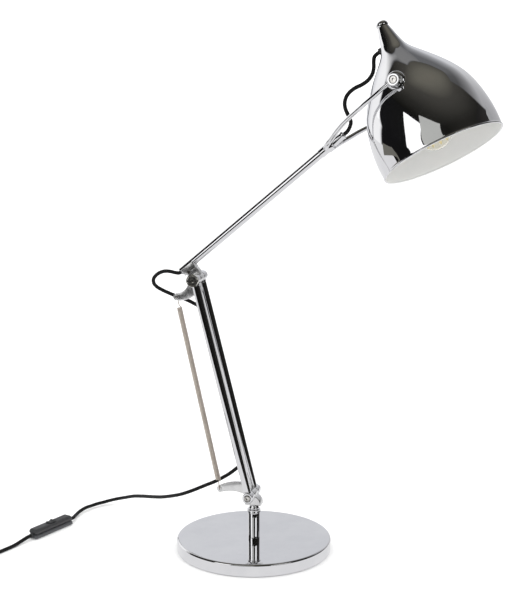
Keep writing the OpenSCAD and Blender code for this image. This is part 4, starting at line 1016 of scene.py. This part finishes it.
# %% A helper for paper and cards
def stage_plane(name, place, size, colour, light):
    bpy.ops.object.select_all(action="DESELECT")
    bpy.ops.mesh.primitive_plane_add(size=1)
    card = named(name)
    card.matrix_world = place @ Matrix.Diagonal((*size, 1, 1))
    settle()
    paper = finish(name + "_paper", (0.95, 0.95, 0.95), None, 0, (0.9, 1.0), 8)
    if light:
        set_socket(paper, "Base Color", (0, 0, 0, 1))
        set_socket(paper, "Emission Color", (*colour, 1))
        set_socket(paper, "Emission Strength", light)
        card.visible_camera = card.visible_diffuse = card.visible_shadow = card.visible_transmission = False
    card.data.materials.append(paper)
    card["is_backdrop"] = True
    return card


# %% Lay the floor and the sheets
floor = stage_plane("studio_floor", Matrix.Translation((0, 0, -0.0002)), (30, 30), (1, 1, 1), 0)
floor.visible_glossy = False
PALE, DIM, SHEET_Z = (0.86, 0.86, 0.87), (0.17, 0.166, 0.145), -0.0006
SHEETS = (("front_sheet", (-1.15, -0.85), (0.05, 0.6), PALE), ("right_sheet", (0.05, -0.35), (1, 1.5), PALE),
          ("near_sheet", (0.05, -0.9), (0.9, -0.35), PALE), ("left_sheet", (-2.55, 0.35), (-1.15, 3.1), PALE),
          ("back_sheet", (-1.15, 0.6), (0.05, 3.1), PALE), ("side_sheet", (-1.5, -0.4), (-1.15, 0.35), PALE),
          ("dim_sheet", (-2.9, -0.75), (-1.5, 0.35), DIM))
for name, low, high, tone in SHEETS:
    middle = ((low[0] + high[0]) / 2, (low[1] + high[1]) / 2, SHEET_Z)
    stage_plane(name, Matrix.Translation(middle), (high[0] - low[0], high[1] - low[1]), tone, 1)
print("table: a floor and", len(SHEETS), "sheets")

# %% Hang the cards
shade_mid = Vector((0.21, -0.02, 0.57))
CARD_AWAY = 2.6


def card_place(azimuth, elevation):
    az, el = math.radians(azimuth + VIEW_TURN), math.radians(elevation)
    out = Vector((math.sin(az) * math.cos(el), -math.cos(az) * math.cos(el), math.sin(el)))
    return Matrix.Translation(shade_mid + out * CARD_AWAY) @ out.to_track_quat("Z", "Y").to_matrix().to_4x4()


CARDS = (("window_card", -50, 11, (1.15, 1.5), (1, 1, 1), 1.4),
         ("grey_card", -20.5, 21, (1.42, 1.3), (0.96, 0.97, 0.93), 0.56),
         ("side_strip", -114, 8.5, (0.34, 0.5), (1, 1, 1), 1.25),
         ("right_card", 117, 20.5, (0.56, 0.56), (0.97, 0.98, 1), 0.42),
         ("low_window", 39, 17, (1.5, 0.78), (1, 1, 1), 1.2))
for name, azimuth, elevation, size, tone, light in CARDS:
    stage_plane(name, card_place(azimuth, elevation), size, tone, light)
print("cards:", ", ".join(card[0] for card in CARDS))

# %% [markdown]
# ## The painted room
# A picture of a room could be wrapped round the lamp, but the chrome would show its furniture. Ramps of
# colour paint a plain room instead. One goes round the walls: 0.5 faces the camera, and 0 and 1 meet behind
# the lamp. Its edges lean, as the dark bands in the shade do. Two more ramps go up from the horizon: one
# adds a warm ceiling, and one fades the walls. A light path node gives all this to mirror rays alone.

# %% Helpers for the painted room
bpy.context.scene.view_settings.view_transform = "Standard"
world = bpy.data.worlds.new("studio")
bpy.context.scene.world = world
world.use_nodes = True
room_tree = world.node_tree
room_tree.nodes.clear()


def add_node(kind, operation=None, **values):
    made = room_tree.nodes.new("ShaderNode" + kind)
    if operation:
        made.operation = operation
    for key, value in values.items():
        made.inputs[int(key[1:])].default_value = value
    return made


def ramp(stops):
    made = add_node("ValToRGB")
    bar = made.color_ramp
    for spot, colour in stops[1:-1]:
        bar.elements.new(spot).color = (*colour, 1)
    for stop, (spot, colour) in ((bar.elements[0], stops[0]), (bar.elements[-1], stops[-1])):
        stop.position, stop.color = spot, (*colour, 1)
    return made


# %% Mix the room's colours
walls = ramp([(0, (0.72, 0.73, 0.76)), (0.06, (0.74, 0.75, 0.78)), (0.12, (1.06, 1.06, 1.07)),
              (0.17, (1.1, 1.1, 1.1)), (0.191, (1.1, 1.1, 1.1)), (0.200, (0.8, 0.8, 0.81)),
              (0.206, (0.008, 0.008, 0.009)), (0.5, (0.008, 0.008, 0.007)), (0.70, (0.016, 0.015, 0.014)),
              (0.872, (0.03, 0.029, 0.028)), (0.880, (0.42, 0.42, 0.43)), (0.928, (0.50, 0.50, 0.515)),
              (0.962, (0.66, 0.665, 0.68)), (1, (0.72, 0.73, 0.76))])
ceiling = ramp([(0, (0, 0, 0)), (0.5, (0.006, 0.006, 0.005)), (0.7, (0.028, 0.027, 0.024)),
                (0.87, (0.062, 0.059, 0.052)), (0.966, (0.145, 0.138, 0.115)), (1, (0.16, 0.15, 0.125))])
greys = ((0.50, 1), (0.64, 0.55), (0.80, 0.21), (0.885, 0.21), (0.90, 0))
fade = ramp([(spot, (grey, grey, grey)) for spot, grey in greys])
print("ramps:", [len(paint.color_ramp.elements) for paint in (walls, ceiling, fade)], "stops")

# %% Find which way a mirror ray goes
view = math.radians(VIEW_TURN)
looking = add_node("TexCoord")
across = add_node("VectorMath", "DOT_PRODUCT", _1=(math.cos(view), math.sin(view), 0))
forward = add_node("VectorMath", "DOT_PRODUCT", _1=(math.sin(view), -math.cos(view), 0))
height = add_node("SeparateXYZ")
bearing = add_node("Math", "ARCTAN2")
share = add_node("Math", "MULTIPLY_ADD", _1=1 / math.tau, _2=0.5)
RISE_LEAN, FALL_LEAN = 0.11, -0.14  # how far the walls' edges lean, above and below the horizon
rising = add_node("Math", "MULTIPLY", _1=RISE_LEAN)
falling = add_node("Math", "MULTIPLY", _1=FALL_LEAN)
slant = add_node("Math", "MAXIMUM")
leaning = add_node("Math", "ADD")

# %% Give the room to mirror rays and white to the rest
faded = add_node("VectorMath", "SCALE")
lighter = add_node("Mix")
lighter.data_type, lighter.blend_type = "RGBA", "LIGHTEN"
lighter.inputs["Factor"].default_value = 1
room = add_node("Background", _1=1.0)
white = add_node("Background", _0=(1, 1, 1, 1), _1=1.5)
rays = add_node("LightPath")
choose = add_node("MixShader")
sky = add_node("OutputWorld")
MIX_A, MIX_B, MIXED = 6, 7, 2  # the colour sockets of the Mix node
links = ((looking, "Generated", across, 0), (looking, "Generated", forward, 0),
         (looking, "Generated", height, 0), (across, "Value", bearing, 0),
         (forward, "Value", bearing, 1), (bearing, 0, share, 0),
         (height, "Z", rising, 0), (height, "Z", falling, 0), (rising, 0, slant, 0), (falling, 0, slant, 1),
         (slant, 0, leaning, 0), (share, 0, leaning, 1), (leaning, 0, walls, 0), (height, "Z", ceiling, 0),
         (height, "Z", fade, 0), (walls, 0, faded, 0), (fade, 0, faded, "Scale"), (faded, 0, lighter, MIX_A),
         (ceiling, 0, lighter, MIX_B), (lighter, MIXED, room, 0), (rays, "Is Glossy Ray", choose, 0),
         (white, 0, choose, 1), (room, 0, choose, 2), (choose, 0, sky, 0))
for source, outlet, target, inlet in links:
    room_tree.links.new(source.outputs[outlet], target.inputs[inlet])
print("room:", len(room_tree.nodes), "nodes,", len(links), "links")

# %% Measure the size of the scene
low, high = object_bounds()
print("visual box", [round(x, 3) for x in (*low, *high)])
